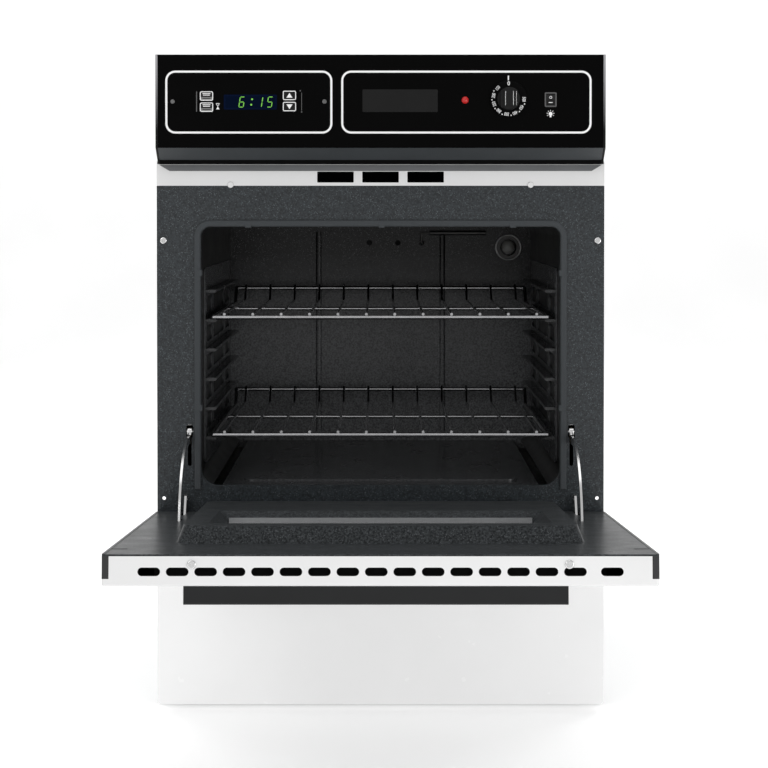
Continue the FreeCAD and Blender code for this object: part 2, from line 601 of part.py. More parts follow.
def door_screws():
    return [screw(x, DOOR_IN - 10.7, DOOR_TOP, 5.0, 2.0, 2.0, 8.0, UPWARD * -1) for x in (-205.0, 205.0)]


def arc_band(from_deg, to_deg):
    """A flat band about the pivot; angles run from straight up towards the front."""
    def at(radius, degrees):
        a = math.radians(degrees)
        return Vector(ARM_X - ARM_T / 2, PIVOT_Y - radius * math.sin(a), PIVOT_Z + radius * math.cos(a))
    middle = (from_deg + to_deg) / 2
    outer = Part.Arc(at(ARM_R_OUT, from_deg), at(ARM_R_OUT, middle), at(ARM_R_OUT, to_deg)).toShape()
    inner = Part.Arc(at(ARM_R_IN, to_deg), at(ARM_R_IN, middle), at(ARM_R_IN, from_deg)).toShape()
    ends = [Part.LineSegment(at(ARM_R_OUT, to_deg), at(ARM_R_IN, to_deg)).toShape(),
            Part.LineSegment(at(ARM_R_IN, from_deg), at(ARM_R_OUT, from_deg)).toShape()]
    face = Part.Face(Part.Wire(Part.__sortEdges__([outer, inner] + ends)))
    return face.extrude(Vector(ARM_T, 0, 0))


def hinge_arm():
    """Right arm, door closed: a hub on the pivot, a leg inside the door and the arc behind it."""
    x0, x1 = ARM_X - ARM_T / 2, ARM_X + ARM_T / 2
    leg = box(x0, x1, PIVOT_Y - 10, PIVOT_Y + 8, PIVOT_Z, PIVOT_Z + ARM_R_OUT + 3)
    hub = rod((x0, PIVOT_Y, PIVOT_Z), (x1, PIVOT_Y, PIVOT_Z), 10.0)
    band = arc_band(2.0, -(DOOR_OPEN_DEG + 22.0))
    hole = rod((x0 - 1, PIVOT_Y, PIVOT_Z), (x1 + 1, PIVOT_Y, PIVOT_Z), ARM_PIN_R + ARM_FIT)
    return leg.multiFuse([hub, band]).cut(hole).removeSplitter()


# ---------------------------------------------------------------- hinge parts on the cabinet
def hinge_bracket():
    """Right side: a foot on the frame, a nose that reaches into the door, and the pivot pin."""
    x0, x1 = ARM_X + 3.0, ARM_X + 6.0
    foot = box(x0, x1 + 0.6, FACE - 3, FACE, 263, 283)
    nose = side_profile([(FACE, 283), (FACE - 12, 283), (PIVOT_Y - 8.5, PIVOT_Z + 4),
                         (PIVOT_Y - 8.5, PIVOT_Z - 4), (PIVOT_Y - 4, PIVOT_Z - 8.5),
                         (PIVOT_Y + 4, PIVOT_Z - 8.5), (FACE - 1.5, 258), (FACE, 263)], x0, x1)
    pin = rod((ARM_X - 4.0, PIVOT_Y, PIVOT_Z), (x1, PIVOT_Y, PIVOT_Z), ARM_PIN_R)
    rivet = Part.makeSphere(2.2, Vector(x0 + 1.2, FACE - 12.0 + 6.0, 277.5)).common(
        box(x0 - 4, x0 + 1, FACE - 12, FACE, 270, 285))
    return foot.multiFuse([nose, pin, rivet]).removeSplitter()


def hinge_roller():
    """Right side: the roller that the arm's outer edge runs under, on its axle and bracket."""
    y = FACE + 4.2
    z = PIVOT_Z + math.sqrt((ARM_R_OUT + ROLLER_R + 0.5) ** 2 - (y - PIVOT_Y) ** 2)
    wheel = rod((ARM_X - 3.4, y, z), (ARM_X + 3.4, y, z), ROLLER_R)
    rim = [e for e in wheel.Edges if e.Curve.TypeId == "Part::GeomCircle"]
    wheel = wheel.makeFillet(1.0, rim)
    axle = rod((ARM_X - 6.6, y, z), (ARM_X + 6.6, y, z), 2.0)
    yoke = [box(x, x + 1.6, PANEL_FRONT + 0.2, PANEL_FRONT + 14, z - 5, z + 14)
            for x in (ARM_X - 6.6, ARM_X + 5.0)]
    bridge = box(ARM_X - 6.6, ARM_X + 6.6, PANEL_FRONT, PANEL_FRONT + 1.6, z + 9.5, z + 14)
    return wheel.multiFuse([axle, bridge] + yoke).removeSplitter()


SPRING_Y = FACE + 30.0


def hinge_spring():
    """Right side: the counterbalance spring's envelope, stretched by the open door."""
    coil = rod((ARM_X + 12, SPRING_Y, 90), (ARM_X + 12, SPRING_Y, 300), 6.5)
    core = rod((ARM_X + 12, SPRING_Y, 89), (ARM_X + 12, SPRING_Y, 301), 4.8)
    return coil.cut(core)


# ---------------------------------------------------------------- broiler drawer
TRAY_HALF, TRAY_LOW, TRAY_HIGH = 233.0, 36.0, 116.0
TRAY_BACK = FACE + 430.0


def drawer_front():
    shell = box(-DRAWER_HALF, DRAWER_HALF, PROUD_Y, FACE - 8, DRAWER_LOW, DRAWER_HIGH)
    corners = [e for e in shell.Edges if abs(e.tangentAt(e.FirstParameter).y) > 0.9 and e.CenterOfMass.z < 10]
    shell = shell.makeFillet(5.0, corners)
    hollow = box(-DRAWER_HALF + SHEET, DRAWER_HALF - SHEET, PROUD_Y + SHEET, FACE, DRAWER_LOW + SHEET,
                 DRAWER_HIGH - SHEET)
    return shell.cut(softened(hollow, 3.6, BACKWARD))


def drawer_inner_panel():
    plate = box(-DRAWER_HALF + 2, DRAWER_HALF - 2, FACE - 8, FACE - 6, DRAWER_LOW + 4, DRAWER_HIGH - 2)
    return plate


def drawer_handle():
    return side_profile(pull_profile(DRAWER_HIGH - 1.0), -HANDLE_HALF, HANDLE_HALF)


def drawer_tray():
    """Open box that carries the broiler pan; its side flanges slide on the rails."""
    y0, y1 = FACE - 6, TRAY_BACK
    shell = box(-TRAY_HALF, TRAY_HALF, y0, y1, TRAY_LOW, TRAY_HIGH)
    hollow = box(-TRAY_HALF + 1.2, TRAY_HALF - 1.2, y0 + 1.2, y1 - 1.2, TRAY_LOW + 1.2, TRAY_HIGH + 1)
    tray = shell.cut(hollow)
    runner = box(TRAY_HALF, TRAY_HALF + 7, FACE + 3, y1, TRAY_HIGH - 1.2, TRAY_HIGH)
    return tray.multiFuse(both(runner)).removeSplitter()


def drawer_rail():
    """Right side: a shelf on the casing that carries the tray's flange."""
    shelf = box(TRAY_HALF + 3, CASE_IN, FACE + 50, FACE + 470, TRAY_HIGH - 4.2, TRAY_HIGH - 1.6)
    foot = box(CASE_IN - 1.6, CASE_IN, FACE + 50, FACE + 470, TRAY_HIGH - 24, TRAY_HIGH - 4.2)
    return shelf.fuse(foot).removeSplitter()


def broiler_pan():
    shell = box(-200, 200, FACE + 20, FACE + 400, TRAY_LOW + 1.2, 84)
    shell = softened(shell, 18, UPWARD)
    hollow = softened(box(-198.6, 198.6, FACE + 21.4, FACE + 398.6, TRAY_LOW + 2.6, 90), 16.6, UPWARD)
    rim = softened(box(-206, 206, FACE + 14, FACE + 406, 82.6, 84), 24, UPWARD)
    return shell.fuse(rim).cut(hollow).removeSplitter()


def broiler_grid():
    """Slotted sheet that lies on the pan."""
    sheet = softened(box(-204, 204, FACE + 16, FACE + 404, 84.2, 86.2), 22, UPWARD)
    for column in range(3):
        for row_number in range(11):
            x = -122 + 122 * column
            y = FACE + 45 + 33 * row_number
            sheet = sheet.cut(softened(box(x - 48, x + 48, y - 4, y + 4, 83, 88), 3.9, UPWARD))
    return sheet


# ---------------------------------------------------------------- gas system
BURNER_Z = 258.0


def oven_burner():
    """Straight tube burner with a row of ports on each side."""
    tube = rod((0, FACE + 80, BURNER_Z), (0, FACE + 430, BURNER_Z), 15.0)
    mouth = Part.makeCone(15.0, 20.0, 22.0, Vector(0, FACE + 430, BURNER_Z), BACKWARD)
    bore = rod((0, FACE + 84, BURNER_Z), (0, FACE + 470, BURNER_Z), 13.0)
    burner = tube.fuse(mouth).cut(bore)
    ports = [rod((-20, FACE + 100 + 20 * k, BURNER_Z + 4), (20, FACE + 100 + 20 * k, BURNER_Z + 4), 1.5)
             for k in range(15)]
    return burner.cut(Part.makeCompound(ports)).removeSplitter()


def flame_spreader():
    plate = box(-185, 185, FACE + 50, FACE + 440, 280, 281.5)
    lips = both(box(183.5, 185, FACE + 50, FACE + 440, 268, 280))
    return plate.multiFuse(lips).removeSplitter()


def burner_igniter():
    holder = box(24, 44, FACE + 300, FACE + 345, BURNER_Z - 12, BURNER_Z + 8)
    rods = rod((34, FACE + 240, BURNER_Z), (34, FACE + 300, BURNER_Z), 4.0)
    return holder.fuse(rods).removeSplitter()


VALVE_Y = BACK - 70.0


def safety_valve():
    body = box(-24, 24, VALVE_Y - 18, VALVE_Y + 18, GAS_Z - 26, GAS_Z + 14)
    body = softened(body, 4, UPWARD)
    orifice = rod((0, VALVE_Y - 34, BURNER_Z), (0, VALVE_Y - 18, BURNER_Z), 6.0)
    return body.fuse(orifice).removeSplitter()


def gas_regulator():
    x, y = GAS_X, VALVE_Y
    body = Part.makeCylinder(26, 26, Vector(x, y, GAS_Z - 13), UPWARD)
    bonnet = Part.makeCone(12, 20, 16, Vector(x, y, GAS_Z - 29), UPWARD)
    return body.fuse(bonnet).removeSplitter()


def gas_tube():
    """Aluminium tube from the regulator to the safety valve."""
    return rod((24, VALVE_Y, GAS_Z), (GAS_X - 26, VALVE_Y, GAS_Z), 5.0)


def gas_inlet_pipe():
    y0, y1 = VALVE_Y + 26.0, BACK + 3
    collar = rod((GAS_X, y0, GAS_Z), (GAS_X, y1, GAS_Z), GAS_R + 1.2)
    free_end = rod((GAS_X, y1, GAS_Z), (GAS_X, y1 + GAS_FREE, GAS_Z), GAS_R)
    bore = rod((GAS_X, y0 + 6, GAS_Z), (GAS_X, y1 + GAS_FREE + 1, GAS_Z), 7.9)
    return collar.fuse(free_end).cut(bore).removeSplitter()


# ---------------------------------------------------------------- control panel
KEY_W, KEY_H, KEY_PLAY = 18.2, 13.0, 0.35
KEYS = {"clock_key_cook": (-231.4, 820.8), "clock_key_stop": (-231.4, 806.0),
        "clock_key_up": (-121.1, 821.6), "clock_key_down": (-121.1, 806.8)}
DISPLAY_X, DISPLAY_W = -173.2, 70.8
DISPLAY_H = 20.0
SWITCH_W, SWITCH_H = 15.9, 19.5
ROCKER_W, ROCKER_H, ROCKER_D, ROCKER_TILT = 10.8, 14.4, 7.0, 7.0
ROCKER_Y = PROUD_Y + 1.5
SHAFT_R = 3.0
SKIRT_R, SKIRT_T = 24.6, 5.0
GRIP_W, GRIP_L, GRIP_T = 15.0, 29.0, 15.0
PANEL_SCREWS = ((-276.6, CONTROL_Z), (-74.6, CONTROL_Z))


def through_panel(half_w, half_h, x, z, radius):
    """The cutter for a rounded opening in the panel."""
    return rounded_slab(x - half_w, x + half_w, z - half_h, z + half_h, radius, radius,
                        PROUD_Y - 1, PROUD_Y + PANEL_T + 1)


def control_panel():
    plate = box(-PANEL_HALF, PANEL_HALF, PROUD_Y, PROUD_Y + PANEL_T, PANEL_LOW, PANEL_HIGH)
    plate = softened(plate, 0.8, SIDEWAYS, lambda at: at.y < PROUD_Y + 1)
    cuts = [through_panel(KEY_W / 2 + KEY_PLAY, KEY_H / 2 + KEY_PLAY, x, z, 1.6) for x, z in KEYS.values()]
    cuts.append(through_panel(DISPLAY_W / 2, DISPLAY_H / 2, DISPLAY_X, 812.8, 1.5))
    cuts.append(through_panel(SWITCH_W / 2 - 1.5, SWITCH_H / 2 - 1.5, SWITCH_X, SWITCH_Z, 1.0))
    for x, z, r in [(KNOB_X, KNOB_Z, SHAFT_R + 1.0), (LAMP_X, LAMP_Z, 4.0)] + \
            [(x, z, 1.7) for x, z in PANEL_SCREWS]:
        cuts.append(rod((x, PROUD_Y - 1, z), (x, PROUD_Y + PANEL_T + 1, z), r))
    for cut in cuts:
        plate = plate.cut(cut)
    return plate


def control_panel_trims():
    """Thin bright extrusions that close the compartment's two ends."""
    front = PROUD_Y - 0.6
    outline = [(front, PANEL_HIGH), (FACE, PANEL_HIGH), (FACE, 731), (FACE - 20, 731), (FACE - 20, 736.5),
               (front, PANEL_LOW)]
    return both(side_profile(outline, PANEL_HALF + 0.1, PANEL_HALF + 3.0))


def control_panel_visor():
    """The sloping rail under the panel, with a drip lip at its lower edge."""
    outline = [(PROUD_Y + 0.2, PANEL_LOW - 0.1), (FACE - 20, 736.5), (FACE - 20, 731), (FACE - 0.5, 731),
               (FACE - 0.5, 733), (FACE - 18, 733), (FACE - 18, 737.5), (PROUD_Y + 3, PANEL_LOW - 0.1)]
    return side_profile(outline, -PANEL_HALF, PANEL_HALF)


def clock_window():
    return rounded_slab(DISPLAY_X - DISPLAY_W / 2 + 0.1, DISPLAY_X + DISPLAY_W / 2 - 0.1,
                        812.8 - DISPLAY_H / 2 + 0.1, 812.8 + DISPLAY_H / 2 - 0.1, 1.4, 1.4,
                        PROUD_Y - 0.3, PROUD_Y + PANEL_T)


def clock_key(x, z):
    cap = rounded_slab(x - KEY_W / 2, x + KEY_W / 2, z - KEY_H / 2, z + KEY_H / 2, 1.4, 1.4,
                       PROUD_Y - 1.2, PROUD_Y + PANEL_T + 1.8)
    rim = [e for e in cap.Edges if abs(e.CenterOfMass.y - (PROUD_Y - 1.2)) < 1e-3]
    cap = cap.makeFillet(0.5, rim)
    ears = box(x - KEY_W / 2 - 1.4, x + KEY_W / 2 + 1.4, PROUD_Y + PANEL_T + 0.2, PROUD_Y + PANEL_T + 1.8,
               z - 4, z + 4)
    return cap.fuse(ears).removeSplitter()


def clock_module():
    """Timer board in its housing behind the keys and the display."""
    case = box(-245, -106, PROUD_Y + 8.0, PROUD_Y + 34, 796, 832)
    tower = box(DISPLAY_X - 34, DISPLAY_X + 34, PROUD_Y + PANEL_T + 0.3, PROUD_Y + 8.0, 804, 822)
    return softened(case, 2, BACKWARD).fuse(tower).removeSplitter()


def indicator_lens():
    stem = rod((LAMP_X, PROUD_Y, LAMP_Z), (LAMP_X, PROUD_Y + 12, LAMP_Z), 3.9)
    dome = Part.makeSphere(5.2, Vector(LAMP_X, PROUD_Y + 2.2, LAMP_Z)).common(
        box(LAMP_X - 9, LAMP_X + 9, PROUD_Y - 9, PROUD_Y, LAMP_Z - 9, LAMP_Z + 9))
    return stem.fuse(dome).removeSplitter()


def thermostat_knob():
    """Round skirt that carries the dial, and a bar grip across it."""
    back = PROUD_Y - 1.0
    skirt = rod((KNOB_X, back, KNOB_Z), (KNOB_X, back - SKIRT_T, KNOB_Z), SKIRT_R)
    rim = [e for e in skirt.Edges if abs(e.CenterOfMass.y - (back - SKIRT_T)) < 1e-3]
    skirt = skirt.makeFillet(2.0, rim)
    tip = back - SKIRT_T - GRIP_T
    hub = rod((KNOB_X, back - SKIRT_T, KNOB_Z), (KNOB_X, tip + 2, KNOB_Z), 15.0)
    bar = box(KNOB_X - GRIP_W / 2, KNOB_X + GRIP_W / 2, tip, back - SKIRT_T + 1,
              KNOB_Z - GRIP_L / 2, KNOB_Z + GRIP_L / 2)
    bar = softened(bar, 4.5, BACKWARD)
    hub = hub.cut(box(KNOB_X - 16, KNOB_X - 11.5, tip - 1, back - SKIRT_T - 2, KNOB_Z - 16, KNOB_Z + 16))
    hub = hub.cut(box(KNOB_X + 11.5, KNOB_X + 16, tip - 1, back - SKIRT_T - 2, KNOB_Z - 16, KNOB_Z + 16))
    socket = rod((KNOB_X, back - SKIRT_T - 8, KNOB_Z), (KNOB_X, back + 1, KNOB_Z), SHAFT_R)
    return skirt.multiFuse([hub, bar]).cut(socket).removeSplitter()


def thermostat_shaft():
    return rod((KNOB_X, PROUD_Y - 1.0 - SKIRT_T - 8, KNOB_Z), (KNOB_X, FACE - 2, KNOB_Z), SHAFT_R)


def thermostat_valve():
    """Gas thermostat: its body is bored for the shaft."""
    body = softened(box(KNOB_X - 26, KNOB_X + 26, FACE - 22, FACE + 34,
                        KNOB_Z - 26, KNOB_Z + 22), 4, BACKWARD)
    neck = rod((KNOB_X, FACE - 32, KNOB_Z), (KNOB_X, FACE - 22, KNOB_Z), 9)
    bore = rod((KNOB_X, FACE - 33, KNOB_Z), (KNOB_X, FACE - 1, KNOB_Z), SHAFT_R + 0.06)
    return body.fuse(neck).cut(bore).removeSplitter()


def light_switch_frame():
    """Bezel on the panel with a shallow well behind it."""
    w, h = SWITCH_W / 2, SWITCH_H / 2
    bezel = rounded_slab(SWITCH_X - w, SWITCH_X + w, SWITCH_Z - h, SWITCH_Z + h, 1.5, 1.5,
                         PROUD_Y - 1.2, PROUD_Y)
    well = rounded_slab(SWITCH_X - w + 1.6, SWITCH_X + w - 1.6, SWITCH_Z - h + 1.6, SWITCH_Z + h - 1.6, 1, 1,
                        PROUD_Y, PROUD_Y + 18)
    hollow = rounded_slab(SWITCH_X - w + 2.2, SWITCH_X + w - 2.2, SWITCH_Z - h + 2.0,
                          SWITCH_Z + h - 2.0, 0.6, 0.6, PROUD_Y - 2, PROUD_Y + 14)
    return bezel.fuse(well).cut(hollow).removeSplitter()


def light_switch_rocker():
    """Rocker shown with its lower half pressed; it turns about a level axis."""
    w, h = ROCKER_W / 2, ROCKER_H / 2
    front = ROCKER_Y - 3.4
    outline = [(front, SWITCH_Z - h), (front + 0.7, SWITCH_Z), (front, SWITCH_Z + h),
               (ROCKER_Y + 2.2, SWITCH_Z + h - 1.0), (ROCKER_Y + ROCKER_D - 1, SWITCH_Z + 2),
               (ROCKER_Y + ROCKER_D - 1, SWITCH_Z - 2), (ROCKER_Y + 2.2, SWITCH_Z - h + 1.0)]
    rocker = side_profile(outline, SWITCH_X - w, SWITCH_X + w)
    rocker.rotate(Vector(SWITCH_X, ROCKER_Y, SWITCH_Z), SIDEWAYS, ROCKER_TILT)
    return rocker


def panel_screws():
    return [screw(x, PROUD_Y, z, 3.0, 1.4, 1.5, 8.0, BACKWARD) for x, z in PANEL_SCREWS]


# ---------------------------------------------------------------- write every sub-part
save("base_pan", base_pan())
right_side = side_panel()
save("side_panel_right", right_side)
save("side_panel_left", mirrored(right_side))
save("top_panel", top_panel())
save("back_panel", back_panel())
save("power_gland", power_gland())
save("divider_shelf", divider())
save("front_frame", front_frame())
save("top_trim_strip", top_trim_strip())
save("cavity_wrap", cavity_wrap())
save("cavity_back", cavity_back())
save("cavity_floor", cavity_floor())
save("rack_guides", *both(rack_guide()))
for rack_name, rack_level in RACK_LEVELS.items():
    save(rack_name, *rack(rack_level))
save("lamp_socket", lamp_socket())
save("lamp_bulb", lamp_bulb())
save("insulation_wrap", *insulation_wrap())
save("flue_duct", flue_duct())
save("thermostat_bulb", thermostat_bulb())
save("door_gasket", door_gasket())
save("hinge_brackets", *(both(hinge_bracket()) + both(hinge_roller())))
save("hinge_springs", *both(hinge_spring()))

save("door_outer_skin", opened(door_outer_skin()))
save("door_side_trims", *[opened(trim) for trim in door_side_trims()])
save("door_inner_panel", opened(door_inner_panel()))
save("door_window_inner", opened(door_window_inner()))
save("door_window_outer", opened(door_window_outer()))
save("door_insulation", opened(door_insulation()))
save("door_handle", opened(door_handle()))
save("door_screws", *[opened(s) for s in door_screws()])
save("hinge_arms", *[opened(arm) for arm in both(hinge_arm())])

save("drawer_front", drawer_front())
save("drawer_inner_panel", drawer_inner_panel())
save("drawer_handle", drawer_handle())
save("drawer_tray", drawer_tray())
save("drawer_rails", *both(drawer_rail()))
save("broiler_pan", broiler_pan())
save("broiler_grid", broiler_grid())

save("oven_burner", oven_burner())
save("flame_spreader", flame_spreader())
save("burner_igniter", burner_igniter())
save("safety_valve", safety_valve())
save("gas_regulator", gas_regulator())
save("gas_pipes", gas_tube(), gas_inlet_pipe())

save("control_panel", control_panel())
save("control_panel_trims", *control_panel_trims())
save("control_panel_visor", control_panel_visor())
save("clock_window", clock_window())
save("clock_module", clock_module())
for key_name, (key_x, key_z) in KEYS.items():
    save(key_name, clock_key(key_x, key_z))
save("indicator_lens", indicator_lens())
save("thermostat_knob", thermostat_knob(), thermostat_shaft())
save("thermostat_valve", thermostat_valve())
save("light_switch_frame", light_switch_frame())
save("light_switch_rocker", light_switch_rocker())
save("fasteners", *(frame_screws() + panel_screws() + gasket_clips()))

print(len(made), "sub-parts")
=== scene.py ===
"""Looks of the built-in wall oven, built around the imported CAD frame. Metres, +Z up, front towards -Y."""
import bpy
import bmesh
import json
import math
from mathutils import Matrix, Vector


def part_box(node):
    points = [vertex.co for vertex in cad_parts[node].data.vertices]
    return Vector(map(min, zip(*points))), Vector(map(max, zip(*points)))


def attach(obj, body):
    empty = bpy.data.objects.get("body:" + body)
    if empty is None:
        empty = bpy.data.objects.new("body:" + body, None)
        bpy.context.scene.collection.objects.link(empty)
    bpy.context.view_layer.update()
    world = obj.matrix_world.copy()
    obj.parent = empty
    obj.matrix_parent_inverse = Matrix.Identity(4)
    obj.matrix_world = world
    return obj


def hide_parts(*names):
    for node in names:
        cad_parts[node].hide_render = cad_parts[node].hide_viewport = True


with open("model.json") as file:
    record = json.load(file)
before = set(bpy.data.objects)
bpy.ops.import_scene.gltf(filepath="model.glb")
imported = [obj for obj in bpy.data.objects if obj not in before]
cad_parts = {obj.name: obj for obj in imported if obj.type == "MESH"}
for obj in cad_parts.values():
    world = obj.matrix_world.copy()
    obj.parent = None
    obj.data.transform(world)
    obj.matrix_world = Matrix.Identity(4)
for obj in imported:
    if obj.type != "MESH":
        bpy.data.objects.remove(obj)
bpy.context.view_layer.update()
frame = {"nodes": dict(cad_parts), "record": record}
NODES = frame["nodes"]
MM = 0.001

# ---------------------------------------------------------------- places read from the frame
panel_lo, panel_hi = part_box("control_panel")
frame_lo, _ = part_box("front_frame")
display_lo, display_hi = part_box("clock_window")
knob_lo, knob_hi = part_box("thermostat_knob")
PANEL_Y = panel_lo.y
FACE_Y = frame_lo.y
KNOB_X = (knob_lo.x + knob_hi.x) / 2
KNOB_Z = (knob_lo.z + knob_hi.z) / 2


# ---------------------------------------------------------------- camera and studio
CAMERA_DISTANCE = 2.47                 # in front of the frame's face
CAMERA_HEIGHT = 0.668
CAMERA_LENS = 85.5
CAMERA_PITCH = 1.1                     # degrees down
SENSOR = 36.0
HORIZON_DROP = 0.2253                  # how far the middle of the picture lies below the horizon


def make_camera():
    data = bpy.data.cameras.new("camera")
    data.sensor_width = SENSOR
    data.lens = CAMERA_LENS
    data.shift_x = 0.0045
    data.shift_y = -(HORIZON_DROP - math.tan(math.radians(CAMERA_PITCH)) * CAMERA_LENS / SENSOR)
    camera = bpy.data.objects.new("camera", data)
    camera.location = (0.0, FACE_Y - CAMERA_DISTANCE, CAMERA_HEIGHT)
    camera.rotation_euler = (math.radians(90 - CAMERA_PITCH), 0, 0)
    bpy.context.scene.collection.objects.link(camera)
    bpy.context.scene.camera = camera


def area_light(name, place, aim, size, power):
    data = bpy.data.lights.new(name, "AREA")
    data.shape = "RECTANGLE"
    data.size, data.size_y = size
    data.energy = power
    light = bpy.data.objects.new(name, data)
    light.location = place
    light.rotation_euler = (Vector(aim) - Vector(place)).to_track_quat("-Z", "Y").to_euler()
    bpy.context.scene.collection.objects.link(light)


def make_studio():
    world = bpy.data.worlds.new("studio")
    world.use_nodes = True
    background = world.node_tree.nodes["Background"]
    background.inputs["Color"].default_value = (1.0, 1.0, 1.0, 1)
    background.inputs["Strength"].default_value = 0.58
    bpy.context.scene.world = world
    bpy.context.scene.view_settings.view_transform = "Standard"
    area_light("key", (-1.7, -3.2, 1.7), (0, -0.3, 0.4), (1.8, 1.6), 20)
    area_light("fill", (2.1, -2.8, 0.5), (0, -0.3, 0.3), (1.6, 0.9), 20)
    area_light("overhead", (0, -0.4, 3.2), (0, -0.2, 0), (2.6, 2.6), 20)
    area_light("back_left", (-2.4, 2.6, 2.2), (0, 0, 0.4), (1.8, 1.8), 40)
    area_light("back_right", (2.4, 2.6, 2.2), (0, 0, 0.4), (1.8, 1.8), 40)


make_camera()
make_studio()


# ---------------------------------------------------------------- material kit
class Paint:
    """One procedural material; its texture coordinates are the object's own, in metres."""

    def __init__(self, name, colour, roughness, metallic=0.0, **sockets):
        self.material = bpy.data.materials.new(name)
        self.material.use_nodes = True
        self.tree = self.material.node_tree
        self.shader = self.tree.nodes["Principled BSDF"]
        self.coords = self.tree.nodes.new("ShaderNodeTexCoord").outputs["Object"]
        self.shader.inputs["Base Color"].default_value = (*colour, 1)
        self.shader.inputs["Roughness"].default_value = roughness
        self.shader.inputs["Metallic"].default_value = metallic
        for name, value in sockets.items():
            self.shader.inputs[name.replace("_", " ")].default_value = value

    def add(self, kind, **settings):
        node = self.tree.nodes.new(kind)
        for name, value in settings.items():
            setattr(node, name, value)
        return node

    def wire(self, source, target):
        self.tree.links.new(source, target)

    def stretched(self, scale):
        """The coordinates with a different scale along each axis."""
        node = self.add("ShaderNodeMapping")
        node.inputs["Scale"].default_value = scale
        self.wire(self.coords, node.inputs["Vector"])
        return node.outputs["Vector"]

    def noise(self, scale, detail=2.0, coords=None):
        node = self.add("ShaderNodeTexNoise")
        node.inputs["Scale"].default_value = scale
        node.inputs["Detail"].default_value = detail
        self.wire(coords or self.coords, node.inputs["Vector"])
        return node.outputs["Fac"]

    def cells(self, scale, output="Distance"):
        node = self.add("ShaderNodeTexVoronoi")
        node.inputs["Scale"].default_value = scale
        self.wire(self.coords, node.inputs["Vector"])
        return node.outputs[output]

    def ramp(self, value, stops):
        """Greys or colours along a value from 0 to 1; stops are (place, grey or colour)."""
        node = self.add("ShaderNodeValToRGB")
        elements = node.color_ramp.elements
        while len(elements) < len(stops):
            elements.new(0.5)
        for element, (place, tone) in zip(elements, stops):
            element.position = place
            element.color = (tone, tone, tone, 1) if isinstance(tone, float) else (*tone, 1)
        self.wire(value, node.inputs["Fac"])
        return node.outputs["Color"]

    def by_height(self, low, high):
        """A value that runs from 0 at one height to 1 at another."""
        axes = self.add("ShaderNodeSeparateXYZ")
        self.wire(self.coords, axes.inputs[0])
        slope = self.add("ShaderNodeMapRange")
        slope.inputs["From Min"].default_value, slope.inputs["From Max"].default_value = low, high
        self.wire(axes.outputs["Z"], slope.inputs["Value"])
        return slope.outputs["Result"]

    def times(self, a, b):
        node = self.add("ShaderNodeMath", operation="MULTIPLY")
        self.wire(a, node.inputs[0])
        self.wire(b, node.inputs[1])
        return node.outputs[0]

    def mix(self, factor, a, b):
        """Blend two colours, or colour outputs, by a factor output."""
        node = self.add("ShaderNodeMix", data_type="RGBA")
        self.wire(factor, node.inputs["Factor"])
        for socket, colour in ((node.inputs[6], a), (node.inputs[7], b)):
            if isinstance(colour, tuple):
                socket.default_value = (*colour, 1)
            else:
                self.wire(colour, socket)
        return node.outputs[2]

    def colour(self, output):
        self.wire(output, self.shader.inputs["Base Color"])
        return self

    def roughness(self, value, low, high):
        """Roughness that follows a value, from low to high."""
        node = self.add("ShaderNodeMapRange")
        node.inputs["To Min"].default_value = low
        node.inputs["To Max"].default_value = high
        self.wire(value, node.inputs["Value"])
        self.wire(node.outputs["Result"], self.shader.inputs["Roughness"])
        return self

    def bump(self, height, strength, distance=0.0002):
        node = self.add("ShaderNodeBump")
        node.inputs["Strength"].default_value = strength
        node.inputs["Distance"].default_value = distance
        self.wire(height, node.inputs["Height"])
        self.wire(node.outputs["Normal"], self.shader.inputs["Normal"])
        return self


def speckled_enamel(name, ground, fleck, roughness, shine=0.5, coat=0.12, shade=None):
    """Dark enamel with fine pale flecks; shade gives two heights between which a painted shade darkens it."""
    paint = Paint(name, ground, roughness, Specular_IOR_Level=shine, Coat_Weight=coat, Coat_Roughness=0.12)
    fine = paint.times(paint.ramp(paint.cells(480), [(0.14, 1.0), (0.36, 0.0)]),
                       paint.ramp(paint.noise(230, 1.0), [(0.40, 0.0), (0.60, 1.0)]))
    grain = paint.ramp(paint.noise(420, 3.0), [(0.36, 0.0), (0.66, 1.0)])
    darker = tuple(c * 0.52 for c in ground)
    lighter = tuple(c * 1.60 for c in ground)
    body = paint.mix(grain, darker, lighter)
    if shade:
        # painted shade: darker from the first height to the second
        body = paint.mix(paint.by_height(*shade), body, tuple(c * 0.05 for c in ground))
    paint.colour(paint.mix(fine, body, fleck))
    paint.roughness(paint.noise(35, 2.0), roughness - 0.06, roughness + 0.08)
    return paint.bump(paint.noise(420, 2.0), 0.10)


def white_enamel(name, white):
    paint = Paint(name, (white, white, white), 0.24, Coat_Weight=0.3, Coat_Roughness=0.08)
    paint.colour(paint.ramp(paint.noise(7, 2.0), [(0.3, white - 0.01), (0.7, white + 0.02)]))
    paint.roughness(paint.noise(60, 2.0), 0.20, 0.30)
    return paint.bump(paint.noise(520, 1.0), 0.05)


def gloss_black(name, colour, low, high):
    """Polished black, with the faint smears that wiping leaves."""
    paint = Paint(name, colour, low, Specular_IOR_Level=0.04)
    smears = paint.noise(9, 4.0, paint.stretched((1.0, 1.0, 3.2)))
    paint.colour(paint.mix(paint.noise(14, 2.0), colour, tuple(c * 1.5 for c in colour)))
    return paint.roughness(paint.ramp(smears, [(0.4, 0.0), (0.75, 1.0)]), low, high)


